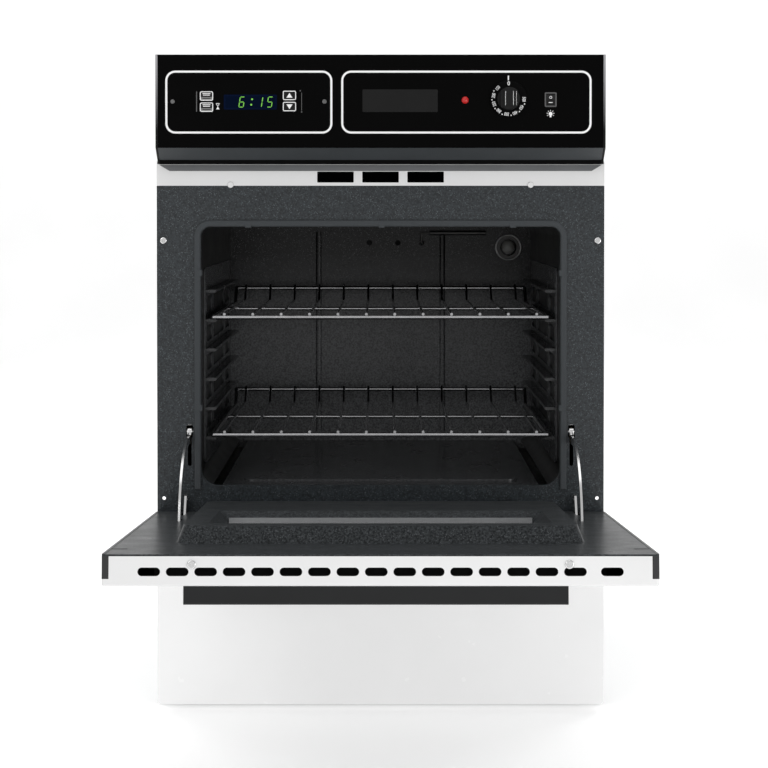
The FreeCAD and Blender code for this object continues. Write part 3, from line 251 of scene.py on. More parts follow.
def satin_paint(name, colour, roughness, shine=0.5):
    """Powder coat: fine orange peel and slightly uneven gloss."""
    paint = Paint(name, colour, roughness, Specular_IOR_Level=shine)
    darker, lighter = tuple(c * 0.85 for c in colour), tuple(c * 1.15 for c in colour)
    paint.colour(paint.mix(paint.noise(25, 3.0), darker, lighter))
    paint.roughness(paint.noise(120, 2.0), roughness - 0.05, roughness + 0.07)
    return paint.bump(paint.noise(1300, 2.0), 0.18, 0.0001)


def metal(name, colour, roughness, grain=(40, 40, 40), wear=0.12):
    """Bare metal whose grain runs along the axis with the smallest number."""
    paint = Paint(name, colour, roughness, metallic=1.0)
    lines = paint.noise(30, 4.0, paint.stretched(grain))
    paint.colour(paint.mix(lines, tuple(c * 0.82 for c in colour), tuple(min(1, c * 1.1) for c in colour)))
    paint.roughness(lines, roughness - wear * 0.5, roughness + wear)
    return paint.bump(lines, 0.06)


def panel_end_trim(black_below, grey_above):
    """End trim painted from black to grey between two heights: a painted reflection near its top."""
    paint = Paint("panel_end", (0.01, 0.01, 0.01), 0.22, Specular_IOR_Level=0.2)
    shade = paint.by_height(black_below, grey_above)
    paint.colour(paint.mix(shade, (0.006, 0.006, 0.006), (0.32, 0.32, 0.33)))
    return paint.roughness(paint.noise(90, 2.0), 0.18, 0.28)


def galvanised():
    """Zinc-coated sheet with its large crystal spangle."""
    paint = Paint("galvanised", (0.42, 0.43, 0.44), 0.42, metallic=1.0)
    spangle = paint.add("ShaderNodeSeparateColor")
    paint.wire(paint.cells(85, "Color"), spangle.inputs["Color"])
    tone = paint.ramp(spangle.outputs["Red"], [(0.0, (0.32, 0.335, 0.345)), (1.0, (0.50, 0.515, 0.525))])
    paint.colour(paint.mix(paint.noise(18, 3.0), tone, (0.40, 0.41, 0.41)))
    paint.roughness(spangle.outputs["Green"], 0.32, 0.52)
    return paint.bump(paint.noise(240, 2.0), 0.05)


def chrome_wire():
    paint = Paint("chrome_wire", (0.74, 0.74, 0.75), 0.16, metallic=1.0)
    haze = paint.noise(90, 3.0)
    paint.colour(paint.mix(haze, (0.40, 0.40, 0.41), (0.58, 0.58, 0.59)))
    return paint.roughness(haze, 0.10, 0.28)


def woven(name, dark, light, thread):
    """Two crossing sets of threads."""
    paint = Paint(name, dark, 0.85)
    waves = []
    for direction in ("X", "Z"):
        wave = paint.add("ShaderNodeTexWave", bands_direction=direction)
        wave.inputs["Scale"].default_value = thread
        wave.inputs["Distortion"].default_value = 1.5
        paint.wire(paint.coords, wave.inputs["Vector"])
        waves.append(wave.outputs["Fac"])
    weave = paint.times(*waves)
    paint.colour(paint.mix(weave, dark, light))
    return paint.bump(weave, 0.5, 0.0005)


def wool():
    paint = Paint("mineral_wool", (0.58, 0.50, 0.30), 0.95)
    fibres = paint.noise(160, 6.0, paint.stretched((1.0, 1.0, 4.0)))
    paint.colour(paint.mix(fibres, (0.42, 0.35, 0.18), (0.70, 0.62, 0.42)))
    return paint.bump(fibres, 0.8, 0.002)


def glass(name, tint, roughness, transmission):
    paint = Paint(name, tint, roughness, Transmission_Weight=transmission, IOR=1.45)
    paint.colour(paint.mix(paint.noise(5, 2.0), tint, tuple(c * 0.9 for c in tint)))
    return paint.roughness(paint.noise(12, 3.0), roughness, roughness + 0.04)


def porcelain():
    paint = Paint("porcelain", (0.70, 0.69, 0.64), 0.3, Coat_Weight=0.5)
    paint.colour(paint.ramp(paint.noise(80, 3.0), [(0.3, (0.58, 0.56, 0.50)), (0.7, (0.74, 0.73, 0.69))]))
    return paint.bump(paint.noise(300, 2.0), 0.08)


def glowing(name, colour, glow, strength, shine=0.5):
    """A lens or figure lit from behind, a little uneven."""
    paint = Paint(name, colour, 0.3, Specular_IOR_Level=shine)
    paint.shader.inputs["Emission Strength"].default_value = strength
    tone = paint.mix(paint.noise(700, 2.0), tuple(c * 0.8 for c in glow), glow)
    paint.wire(tone, paint.shader.inputs["Emission Color"])
    paint.colour(paint.mix(paint.noise(500, 1.0), colour, tuple(c * 0.9 for c in colour)))
    return paint


def printed_ink(name, colour):
    """Screen-printed lettering ink."""
    paint = Paint(name, colour, 0.42)
    paint.colour(paint.mix(paint.noise(1500, 2.0), tuple(c * 0.93 for c in colour), colour))
    return paint.bump(paint.noise(2500, 1.0), 0.1, 0.0001)


# ---------------------------------------------------------------- finishes, one per material slot
FINISHES = {
    "white_enamel": white_enamel("white_enamel", 0.74),
    "speckled_enamel": speckled_enamel("speckled_enamel", (0.0165, 0.0205, 0.0235),
                                       (0.105, 0.118, 0.128), 0.36, 0.35),
    "black_panel": gloss_black("black_panel", (0.0012, 0.0012, 0.0012), 0.10, 0.20),
    "visor_paint": satin_paint("visor_paint", (0.046, 0.051, 0.055), 0.42),
    "handle_paint": satin_paint("handle_paint", (0.012, 0.0125, 0.013), 0.40, 0.2),
    "trim_black": satin_paint("trim_black", (0.012, 0.012, 0.013), 0.40),
    "galvanised": galvanised(),
    "aluminised": metal("aluminised", (0.50, 0.50, 0.49), 0.42, (12, 12, 60)),
    "bright_steel": metal("bright_steel", (0.78, 0.78, 0.78), 0.18, (80, 80, 80), 0.08),
    "chrome_wire": chrome_wire(),
    "end_trim": metal("end_trim", (0.60, 0.61, 0.62), 0.30, (60, 60, 4)),
    "cast_aluminium": metal("cast_aluminium", (0.42, 0.42, 0.42), 0.50, (90, 90, 90)),
    "zinc_burner": metal("zinc_burner", (0.36, 0.37, 0.38), 0.46, (4, 60, 60)),
    "window_glass": glass("window_glass", (0.16, 0.17, 0.18), 0.03, 0.85),
    "outer_glass": glass("outer_glass", (0.03, 0.03, 0.03), 0.03, 0.5),
    "lamp_glass": glass("lamp_glass", (0.62, 0.62, 0.60), 0.04, 0.45),
    "porcelain": porcelain(),
    "mineral_wool": wool(),
    "gasket_braid": woven("gasket_braid", (0.028, 0.032, 0.035), (0.085, 0.095, 0.103), 420),
    "display_glass": gloss_black("display_glass", (0.0008, 0.0035, 0.016), 0.05, 0.10),
    "key_black": satin_paint("key_black", (0.003, 0.003, 0.003), 0.30, 0.25),
    "red_lens": glowing("red_lens", (0.34, 0.008, 0.008), (1.0, 0.02, 0.015), 0.16),
    "rubber_black": satin_paint("rubber_black", (0.012, 0.012, 0.012), 0.62),
}
INK_WHITE = printed_ink("ink_white", (0.86, 0.86, 0.86)).material
INK_GREY = printed_ink("ink_grey", (0.085, 0.085, 0.085)).material
INK_BLACK = printed_ink("ink_black", (0.004, 0.004, 0.004)).material
INK_SOFT = printed_ink("ink_soft", (0.17, 0.17, 0.17)).material
GREEN_GLOW = glowing("display_green", (0.05, 0.20, 0.03), (0.30, 0.74, 0.10), 0.62, 0.1).material
BLUE_GLOW = glowing("display_blue", (0.0008, 0.003, 0.012), (0.01, 0.13, 0.50), 0.007, 0.02).material
# painted shadow: the grey of the visor's shadow on the white strip
SHADE_GREY = satin_paint("painted_shadow_grey", (0.14, 0.145, 0.15), 0.5, 0.3).material
# painted light: a whiter copy of the white enamel for the drawer's front, because less light reaches it
FRONT_ENAMEL_PAINTED_LIGHT = white_enamel("front_enamel_painted_light", 0.88).material
# painted light: a lighter copy of the cavity's speckled enamel for its floor and rack guides
CAVITY_ENAMEL_PAINTED_LIGHT = speckled_enamel("cavity_enamel_painted_light", (0.030, 0.031, 0.033), (0.095, 0.099, 0.103),
                                0.24, 0.45).material
# painted light and shade: a much lighter copy of the cavity's enamel for the rear wall, with a painted shade
# that darkens it towards the top
REAR_ENAMEL_PAINTED_LIGHT_AND_SHADE = speckled_enamel("rear_enamel_painted_light_and_shade", (0.105, 0.108, 0.112), (0.16, 0.163, 0.168),
                              0.26, 0.30, 0.0, shade=(0.47, 0.60)).material
# painted shade: a near-black copy of the cavity's enamel for the cavity's wrap
WALL_ENAMEL_PAINTED_SHADE = speckled_enamel("wall_enamel_painted_shade", (0.0030, 0.0032, 0.0035), (0.030, 0.032, 0.034),
                              0.30, 0.3).material
# painted light: a lighter copy of the cavity's enamel for the door's liner
DOOR_ENAMEL_PAINTED_LIGHT = speckled_enamel("door_enamel_painted_light", (0.034, 0.037, 0.039), (0.115, 0.122, 0.13),
                              0.30, 0.05, 0.0).material
# painted reflection: the panel's end trims, black below and grey near the top
PANEL_END_PAINTED_REFLECTION = panel_end_trim(0.775, 0.865).material
DULL_STEEL = metal("dull_steel", (0.16, 0.16, 0.16), 0.35, (60, 60, 60)).material
RING_STEEL = metal("ring_steel", (0.42, 0.42, 0.42), 0.38, (30, 30, 30)).material
# painted shade: steel painted dark for the thermostat bulb in the cavity's shade
PAINTED_SHADE_STEEL = metal("painted_shade_steel", (0.12, 0.118, 0.115), 0.45, (30, 30, 30)).material
# painted shade: the lamp holder's porcelain painted dark
PAINTED_SHADE_PORCELAIN = satin_paint("painted_shade_porcelain", (0.035, 0.034, 0.032), 0.30).material
# painted shade: wool painted near black where it shows through slots and holes
PAINTED_SHADE_WOOL = woven("painted_shade_wool", (0.006, 0.006, 0.006), (0.014, 0.014, 0.014), 300).material
SHADOW_COAT = satin_paint("shadow_coat", (0.0015, 0.0015, 0.0015), 0.7, 0.05).material

for part in frame["record"]["subparts"]:
    node = NODES[part["node"]]
    node.data.materials.clear()
    node.data.materials.append(FINISHES[part["material_slot"]].material)

# nodes painted lighter or darker than their slot's usual finish: painted light on the cavity floor, rack
# guides, rear wall, door liner and the drawer's front (whiter because less light reaches it), painted shade
# on the cavity walls, the rear wall's top, the lamp holder, the thermostat bulb and what shows through slots,
# and a painted reflection on the panel's end trims
OWN_FINISH = {"cavity_floor": CAVITY_ENAMEL_PAINTED_LIGHT, "rack_guides": CAVITY_ENAMEL_PAINTED_LIGHT, "cavity_back": REAR_ENAMEL_PAINTED_LIGHT_AND_SHADE,
              "cavity_wrap": WALL_ENAMEL_PAINTED_SHADE, "control_panel_trims": PANEL_END_PAINTED_REFLECTION, "drawer_front": FRONT_ENAMEL_PAINTED_LIGHT,
              "door_inner_panel": DOOR_ENAMEL_PAINTED_LIGHT, "door_insulation": PAINTED_SHADE_WOOL, "lamp_socket": PAINTED_SHADE_PORCELAIN,
              "thermostat_bulb": PAINTED_SHADE_STEEL, "flue_duct": SHADOW_COAT}
for name, material in OWN_FINISH.items():
    NODES[name].data.materials[0] = material


def paint_faces(node, material, chosen):
    """Give a second material to the faces of a CAD node that chosen(centre, normal) picks."""
    mesh = NODES[node].data
    mesh.materials.append(material)
    for polygon in mesh.polygons:
        if chosen(polygon.center, polygon.normal):
            polygon.material_index = len(mesh.materials) - 1


INWARD = 4 * MM                        # how far inside the door skin a face must look to its middle
DIAL_BACK = knob_lo.y + 14.5 * MM      # the dial and what lies behind it, seen from the grip
PANEL_SCREWS_ABOVE = 750 * MM
STRIP_SCREW_Z, STRIP_SCREW_REACH, SCREW_SIZE = 703 * MM, 240 * MM, 8 * MM
CLIP_REACH, CLIP_TOP = 285 * MM, 690 * MM        # the seal's clips lie inside this width and below this
skin_lo, skin_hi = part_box("door_outer_skin")
skin_middle = (skin_lo + skin_hi) / 2
# painted shade: the door skin's inside faces take the near-black coat, so its slots show dark
paint_faces("door_outer_skin", SHADOW_COAT, lambda at, out: (skin_middle - at).dot(out) > INWARD)
# painted shade: the insulation wrap's front faces take the near-black wool
paint_faces("insulation_wrap", PAINTED_SHADE_WOOL, lambda at, out: out.y < -0.5)
paint_faces("control_panel_visor", SHADOW_COAT, lambda at, out: out.y < -0.9 or out.z < -0.95)
paint_faces("thermostat_knob", SHADOW_COAT, lambda at, out: at.y > DIAL_BACK)
paint_faces("fasteners", DULL_STEEL, lambda at, out: at.z > PANEL_SCREWS_ABOVE)
paint_faces("fasteners", FINISHES["white_enamel"].material,
            lambda at, out: abs(at.z - STRIP_SCREW_Z) < SCREW_SIZE and abs(at.x) < STRIP_SCREW_REACH)
paint_faces("fasteners", FINISHES["gasket_braid"].material,
            lambda at, out: abs(at.x) < CLIP_REACH and at.z < CLIP_TOP)


# ---------------------------------------------------------------- mesh helpers
INK = 0.10 * MM                        # printed ink stands this far off the surface
EMBED = 0.04 * MM                      # and its back sits this far inside it


def add_piece(name, bm, material, body, smooth=False):
    """Turn a bmesh into a named object that moves with a CAD body."""
    mesh = bpy.data.meshes.new(name)
    bmesh.ops.remove_doubles(bm, verts=bm.verts, dist=1e-7)
    bmesh.ops.recalc_face_normals(bm, faces=bm.faces)
    bm.to_mesh(mesh)
    bm.free()
    for polygon in mesh.polygons:
        polygon.use_smooth = smooth
    obj = bpy.data.objects.new(name, mesh)
    mesh.materials.append(material)
    bpy.context.scene.collection.objects.link(obj)
    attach(obj, body)
    return obj


def prism(bm, outline, front, back):
    """A flat plate whose outline is given as (x, z) points, between two y values."""
    near = [bm.verts.new((x, front, z)) for x, z in outline]
    far = [bm.verts.new((x, back, z)) for x, z in outline]
    bm.faces.new(near)
    bm.faces.new(far[::-1])
    for k in range(len(outline)):
        j = (k + 1) % len(outline)
        bm.faces.new((near[k], far[k], far[j], near[j]))


def rounded_outline(x0, x1, z0, z1, radius, steps=8):
    """Points of a rectangle with rounded corners, anticlockwise seen from the front."""
    corners = [(x1 - radius, z0 + radius, -90), (x1 - radius, z1 - radius, 0),
               (x0 + radius, z1 - radius, 90), (x0 + radius, z0 + radius, 180)]
    points = []
    for cx, cz, start in corners:
        for k in range(steps + 1):
            a = math.radians(start + 90 * k / steps)
            points.append((cx + radius * math.cos(a), cz + radius * math.sin(a)))
    return points


def ring_plate(bm, outer, inner, front, back):
    """The band between two outlines with the same number of points."""
    count = len(outer)
    rows = [[bm.verts.new((x, y, z)) for x, z in loop]
            for loop, y in ((outer, front), (inner, front), (inner, back), (outer, back))]
    for a, b in zip(rows, rows[1:] + rows[:1]):
        for k in range(count):
            j = (k + 1) % count
            bm.faces.new((a[k], a[j], b[j], b[k]))


def frame_line(bm, x0, x1, z0, z1, radius, width, face):
    """A printed rounded rectangle; the sizes are to the middle of its line."""
    h = width / 2
    outer = rounded_outline(x0 - h, x1 + h, z0 - h, z1 + h, radius + h)
    inner = rounded_outline(x0 + h, x1 - h, z0 + h, z1 - h, max(radius - h, 0.05 * MM))
    ring_plate(bm, outer, inner, face - INK, face + EMBED)


def bar(bm, a, b, width, face, height=INK):
    """A straight printed line between two (x, z) points."""
    a, b = Vector(a), Vector(b)
    side = (b - a).normalized()
    side = Vector((-side.y, side.x)) * width / 2
    outline = [tuple(corner) for corner in (a + side, a - side, b - side, b + side)]
    prism(bm, outline, face - height, face + EMBED)


def dot(bm, x, z, radius, face):
    steps = 16
    angles = [2 * math.pi * k / steps for k in range(steps)]
    outline = [(x + radius * math.cos(a), z + radius * math.sin(a)) for a in angles]
    prism(bm, outline, face - INK, face + EMBED)


CAP_HEIGHT = 0.69                      # of the font, as a share of its size


def figures_mesh(bm, text, height, turn, place, face, squeeze=1.0):
    """Figures in the built-in font, centred at an (x, z) place and turned about it by degrees."""
    curve = bpy.data.curves.new("figures", "FONT")
    curve.body = text
    curve.size = height / CAP_HEIGHT
    curve.align_x, curve.align_y = "CENTER", "CENTER"
    curve.extrude = (INK + EMBED) / 2
    curve.offset = height * 0.02
    holder = bpy.data.objects.new("figures", curve)
    bpy.context.scene.collection.objects.link(holder)
    bpy.context.view_layer.update()
    mesh = bpy.data.meshes.new_from_object(holder.evaluated_get(bpy.context.evaluated_depsgraph_get()))
    mesh.transform(Matrix.Diagonal((squeeze, 1, 1, 1)))
    middle = face - (INK - EMBED) / 2
    stand = Matrix.Translation((place[0], middle, place[1])) @ Matrix.Rotation(math.radians(-turn), 4, "Y") \
        @ Matrix.Rotation(math.radians(90), 4, "X")
    mesh.transform(stand)
    bm.from_mesh(mesh)
    bpy.data.objects.remove(holder)
    bpy.data.curves.remove(curve)
    bpy.data.meshes.remove(mesh)


# ---------------------------------------------------------------- printing on the control panel
LINE = 2.7 * MM                        # stroke of the two big outlines
OUTLINE_RADIUS = 13.3 * MM
OUTLINE_LOW, OUTLINE_HIGH = panel_lo.z + 19.0 * MM, panel_lo.z + 102.6 * MM
LEFT_OUTLINE = (panel_lo.x + 10.2 * MM, panel_lo.x + 232.4 * MM)
RIGHT_OUTLINE = (panel_lo.x + 244.2 * MM, panel_hi.x - 15.8 * MM)
KEY_NODES = ("clock_key_cook", "clock_key_stop", "clock_key_up", "clock_key_down")


def panel_outlines():
    bm = bmesh.new()
    for x0, x1 in (LEFT_OUTLINE, RIGHT_OUTLINE):
        frame_line(bm, x0 + LINE / 2, x1 - LINE / 2, OUTLINE_LOW + LINE / 2, OUTLINE_HIGH - LINE / 2,
                   OUTLINE_RADIUS - LINE / 2, LINE, PANEL_Y)
    add_piece("panel_outlines", bm, INK_WHITE, "cabinet")


def clock_divider_lines():
    """Thin upright rules on both sides of the clock, the right one between two dots."""
    left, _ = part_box("clock_key_cook")
    _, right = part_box("clock_key_up")
    low, high = display_lo.z - 2.8 * MM, display_hi.z + 4.2 * MM
    x0, x1 = left.x - 2.8 * MM, right.x + 5.6 * MM
    bm = bmesh.new()
    bar(bm, (x0, low), (x0, high), 1.2 * MM, PANEL_Y)
    add_piece("clock_rule_left", bm, INK_GREY, "cabinet")
    bm = bmesh.new()
    bar(bm, (x1, low + 1.5 * MM), (x1, high - 1.5 * MM), 0.7 * MM, PANEL_Y)
    dot(bm, x1, low - 0.4 * MM, 0.9 * MM, PANEL_Y)
    dot(bm, x1 - 1.8 * MM, high + 0.9 * MM, 0.9 * MM, PANEL_Y)
    add_piece("clock_rule_right", bm, INK_GREY, "cabinet")


def hourglass():
    """Timer sign between the keys and the display: upper half in outline, lower half solid."""
    x, z = display_lo.x - 8.0 * MM, display_lo.z + 4.2 * MM
    half, tall, line = 2.3 * MM, 3.9 * MM, 0.7 * MM
    bm = bmesh.new()
    prism(bm, [(x - half, z - tall), (x + half, z - tall), (x, z)], PANEL_Y - INK, PANEL_Y + EMBED)
    for a, b in (((x - half, z + tall), (x + half, z + tall)), ((x - half, z + tall), (x, z)),
                 ((x + half, z + tall), (x, z))):
        bar(bm, a, b, line, PANEL_Y, INK * 0.9)
    add_piece("hourglass_sign", bm, INK_WHITE, "cabinet")


def key_legend(node):
    """White outline on a clock key, with an arrow or plain bars for its function."""
    lo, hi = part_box(node)
    ear = 1.4 * MM                     # hidden ears behind the panel widen the key's box
    x0, x1 = lo.x + ear + 0.9 * MM, hi.x - ear - 0.9 * MM
    z0, z1 = lo.z + 0.9 * MM, hi.z - 0.9 * MM
    x, z = (x0 + x1) / 2, (z0 + z1) / 2
    line = 1.05 * MM
    bm = bmesh.new()
    frame_line(bm, x0, x1, z0, z1, 1.6 * MM, line, lo.y)
    if node in ("clock_key_up", "clock_key_down"):
        up = 1 if node == "clock_key_up" else -1
        foot, tip = z - up * 3.0 * MM, z + up * 3.4 * MM
        prism(bm, [(x - 4.0 * MM, foot), (x + 4.0 * MM, foot), (x, tip)], lo.y - INK, lo.y + EMBED)
    else:
        for k, reach in ((0, 4.6 * MM), (1, 5.2 * MM)):
            level = z + (1.2 + 2.0 * k) * MM
            bar(bm, (x - reach, level), (x + reach, level), 0.95 * MM, lo.y)
    add_piece(node + "_legend", bm, INK_WHITE, node)
    if node in ("clock_key_cook", "clock_key_stop"):
        field_top = z0 + 4.3 * MM
        bm = bmesh.new()
        prism(bm, [(x0, z0), (x1, z0), (x1, field_top), (x0, field_top)], lo.y - INK * 0.9, lo.y + EMBED)
        add_piece(node + "_panel", bm, INK_SOFT, node)
        bm = bmesh.new()
        word_z = z0 + 2.4 * MM
        bar(bm, (x - 5.4 * MM, word_z), (x + 5.4 * MM, word_z), 1.1 * MM, lo.y - INK)
        add_piece(node + "_bar", bm, INK_BLACK, node)


SEGMENTS = {"0": "abcdef", "1": "bc", "2": "abdeg", "3": "abcdg", "4": "bcfg", "5": "acdfg", "6": "acdefg",
            "7": "abc", "8": "abcdefg", "9": "abcdfg"}


def display_figures(text="6:15"):
    """Slanted seven-segment figures, lit green."""
    height, width, stroke, gap = 13.4 * MM, 5.9 * MM, 1.15 * MM, 0.3 * MM
    slant = math.tan(math.radians(9))
    bottom, face = display_lo.z + 3.3 * MM, display_lo.y
    digit_pitch, colon_pitch, colon_place = 13.3 * MM, 10.8 * MM, 2.8 * MM
    x = display_lo.x + 19.9 * MM
    bm = bmesh.new()

    def lit(x0, z0, x1, z1):
        a = (x + x0 + (z0 - bottom) * slant, z0)
        b = (x + x1 + (z1 - bottom) * slant, z1)
        step = (Vector(b) - Vector(a)).normalized() * gap
        a, b = tuple(Vector(a) + step), tuple(Vector(b) - step)
        run = (Vector(b) - Vector(a)).normalized() * stroke / 2
        side = Vector((-run.y, run.x))
        a, b = Vector(a), Vector(b)
        prism(bm, [tuple(a), tuple(a + run - side), tuple(b - run - side), tuple(b), tuple(b - run + side),
                   tuple(a + run + side)], face - INK, face + EMBED)

    mid, top = bottom + height / 2, bottom + height
    routes = {"a": (0, top, width, top), "b": (width, mid, width, top), "c": (width, bottom, width, mid),
              "d": (0, bottom, width, bottom), "e": (0, bottom, 0, mid), "f": (0, mid, 0, top),
              "g": (0, mid, width, mid)}
    for sign in text:
        if sign == ":":
            for level in (mid - 3.6 * MM, mid + 3.6 * MM):
                dot(bm, x + colon_place + (level - bottom) * slant, level, 1.3 * MM, face)
        else:
            for name in SEGMENTS[sign]:
                lit(*routes[name])
        x += colon_pitch if sign == ":" else digit_pitch
    add_piece("display_figures", bm, GREEN_GLOW, "cabinet")


def display_glow():
    """The lit field of the display, a little smaller than its window."""
    bm = bmesh.new()
    inset = 2.2 * MM
    outline = rounded_outline(display_lo.x + inset, display_hi.x - inset,
                              display_lo.z + inset, display_hi.z - inset, 1.0 * MM, 4)
    prism(bm, outline, display_lo.y - INK * 0.4, display_lo.y + EMBED)
    add_piece("display_field", bm, BLUE_GLOW, "cabinet")


# ---------------------------------------------------------------- dial, index mark and light switch
GRIP_DEPTH = 15.0 * MM                 # the dial's face lies this far behind the grip's front
DIAL_Y = knob_lo.y + GRIP_DEPTH
FIGURE_RADIUS, DOT_RADIUS = 20.2 * MM, 22.2 * MM
FIRST_FIGURE, FIGURE_STEP = 136.0, 31.7          # degrees anticlockwise from 3 o'clock, and between figures
FIGURE_HEIGHT, FIGURE_SQUEEZE, ZERO_HEIGHT = 4.2 * MM, 0.72, 5.0 * MM
TEMPERATURES = ("150", "200", "250", "300", "350", "400", "450", "500")


def on_dial(degrees, radius):
    a = math.radians(degrees)
    return KNOB_X + radius * math.cos(a), KNOB_Z + radius * math.sin(a)


def dial_figures():
    bm = bmesh.new()
    figures_mesh(bm, "0", ZERO_HEIGHT, 0, on_dial(90, FIGURE_RADIUS), DIAL_Y)
    for k, text in enumerate(TEMPERATURES):
        degrees = FIRST_FIGURE + k * FIGURE_STEP
        figures_mesh(bm, text, FIGURE_HEIGHT, degrees - 90, on_dial(degrees, FIGURE_RADIUS), DIAL_Y,
                     FIGURE_SQUEEZE)
    add_piece("dial_figures", bm, INK_WHITE, "thermostat_knob")
    bm = bmesh.new()
    for k in range(len(TEMPERATURES) - 1):
        between = FIRST_FIGURE + (k + 0.5) * FIGURE_STEP
        x, z = on_dial(between, DOT_RADIUS)
        dot(bm, x, z, 0.85 * MM, DIAL_Y)
    add_piece("dial_dots", bm, INK_WHITE, "thermostat_knob")


def knob_ribs():
    """Half-round polished ribs down the grip and beside it."""
    length, radius, hub_drop = 18.5 * MM, 0.40 * MM, 2.0 * MM
    bm = bmesh.new()
    for offset, drop in ((-5.2 * MM, 0), (5.2 * MM, 0), (9.2 * MM, hub_drop)):
        x, y = KNOB_X + offset, knob_lo.y + drop
        arc = [(x + radius * math.cos(a), y - radius * math.sin(a)) for a in
               (math.pi * k / 10 for k in range(11))]
        low, high = ([bm.verts.new((px, py, KNOB_Z + end * length / 2)) for px, py in arc] for end in (-1, 1))
        bm.faces.new(low)
        bm.faces.new(high[::-1])
        for k in range(len(arc)):
            j = (k + 1) % len(arc)
            bm.faces.new((low[k], high[k], high[j], low[j]))
    add_piece("knob_ribs", bm, FINISHES["bright_steel"].material, "thermostat_knob")


def name_plate():
    """The blank plate in the middle of the right outline."""
    half, tall = 50.0 * MM, 30.0 * MM
    x, low = panel_lo.x + 322.5 * MM, panel_lo.z + 47.6 * MM
    bm = bmesh.new()
    outline = rounded_outline(x - half, x + half, low, low + tall, 1.2 * MM, 4)
    prism(bm, outline, PANEL_Y - 0.3 * MM, PANEL_Y + EMBED)
    add_piece("name_plate_blank", bm, FINISHES["key_black"].material, "cabinet")


def strip_painted_shadow():
    """A flat grey piece, mitred at both ends, that paints the visor's shadow on the white strip."""
    lo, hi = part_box("top_trim_strip")
    high, tall, end, mitre = hi.z - 4.6 * MM, 8.4 * MM, 3.5 * MM, 14.0 * MM
    outline = [(lo.x + end + mitre, high - tall), (hi.x - end - mitre, high - tall), (hi.x - end, high),
               (lo.x + end, high)]
    bm = bmesh.new()
    prism(bm, outline, lo.y - INK, lo.y + EMBED)
    add_piece("strip_painted_shadow", bm, SHADE_GREY, "cabinet")


def lamp_ring():
    """Rolled rim round the oven lamp's holder."""
    lo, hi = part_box("lamp_socket")
    x, z = (lo.x + hi.x) / 2, (lo.z + hi.z) / 2
    major, minor, rounds, sides = (hi.x - lo.x) / 2 - 0.5 * MM, 1.5 * MM, 48, 10
    bm = bmesh.new()
    loops = []
    for k in range(rounds):
        a = 2 * math.pi * k / rounds
        loops.append([])
        for j in range(sides):
            b = 2 * math.pi * j / sides
            reach = major + minor * math.cos(b)
            place = (x + reach * math.cos(a), lo.y + minor * math.sin(b), z + reach * math.sin(a))
            loops[-1].append(bm.verts.new(place))
    for k in range(rounds):
        a, b = loops[k], loops[(k + 1) % rounds]
        for j in range(sides):
            i = (j + 1) % sides
            bm.faces.new((a[j], b[j], b[i], a[i]))
    add_piece("lamp_ring", bm, RING_STEEL, "cabinet", True)


def index_mark():
    bm = bmesh.new()
    low = KNOB_Z + 22.0 * MM
    half, tall = 0.85 * MM, 9.3 * MM
    prism(bm, rounded_outline(KNOB_X - half, KNOB_X + half, low, low + tall, half * 0.98, 4), PANEL_Y - INK,
          PANEL_Y + EMBED)
    add_piece("dial_index", bm, INK_WHITE, "cabinet")


def light_switch_marks():
    """A bulb sign under the switch and a grey line round its bezel."""
    lo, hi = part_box("light_switch_frame")
    x = (lo.x + hi.x) / 2
    bm = bmesh.new()
    edge = 0.9 * MM
    frame_line(bm, lo.x + edge, hi.x - edge, lo.z + edge, hi.z - edge, edge, 1.5 * MM, lo.y)
    add_piece("light_switch_border", bm, INK_GREY, "cabinet")

    bulb_z, bulb_r = lo.z - 9.0 * MM, 2.5 * MM
    neck = [(x - 1.1 * MM, bulb_z - 4.6 * MM), (x + 1.1 * MM, bulb_z - 4.6 * MM)]
    arc = [math.radians(-58 + 296 * k / 20) for k in range(21)]
    bm = bmesh.new()
    prism(bm, neck + [(x + bulb_r * math.cos(a), bulb_z + bulb_r * math.sin(a)) for a in arc], PANEL_Y - INK,
          PANEL_Y + EMBED)
    for k in range(7):
        a = math.radians(-30 + 40 * k)
        ray = Vector((math.cos(a), math.sin(a)))
        centre = Vector((x, bulb_z))
        bar(bm, centre + ray * 3.5 * MM, centre + ray * 5.2 * MM, 0.7 * MM, PANEL_Y)
    add_piece("light_sign", bm, INK_WHITE, "cabinet")


def rocker_marks():
    """A ring on the upper half and a bar on the lower half of the rocker, on its two sloping faces."""
    rocker = NODES["light_switch_rocker"]
    lo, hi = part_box("light_switch_rocker")
    x, half = (lo.x + hi.x) / 2, (hi.z - lo.z) / 2
    centre = (lo.z + hi.z) / 2
    for name, offset, sizes in (("ring", 0.48, (1.5, 0.6)), ("bar", -0.48, (2.6, 0.9))):
        at_z = centre + offset * half
        hit, place, normal, _ = rocker.ray_cast(Vector((x, lo.y - 0.01, at_z)), Vector((0, 1, 0)))
        if not hit:
            continue
        bm = bmesh.new()
        size, line = sizes[0] * MM, sizes[1] * MM
        if name == "ring":
            circles = [[(r * math.cos(k * math.pi / 12), r * math.sin(k * math.pi / 12)) for k in range(24)]
                       for r in (size + line / 2, size - line / 2)]
            ring_plate(bm, *circles, -INK, EMBED)
        else:
            prism(bm, rounded_outline(-size, size, -line / 2, line / 2, 0.2 * MM, 3), -INK, EMBED)
        turn = Vector((0, -1, 0)).rotation_difference(normal).to_matrix().to_4x4()
        bmesh.ops.transform(bm, matrix=Matrix.Translation(place) @ turn, verts=bm.verts)
        add_piece("rocker_" + name, bm, INK_WHITE, "light_switch_rocker")


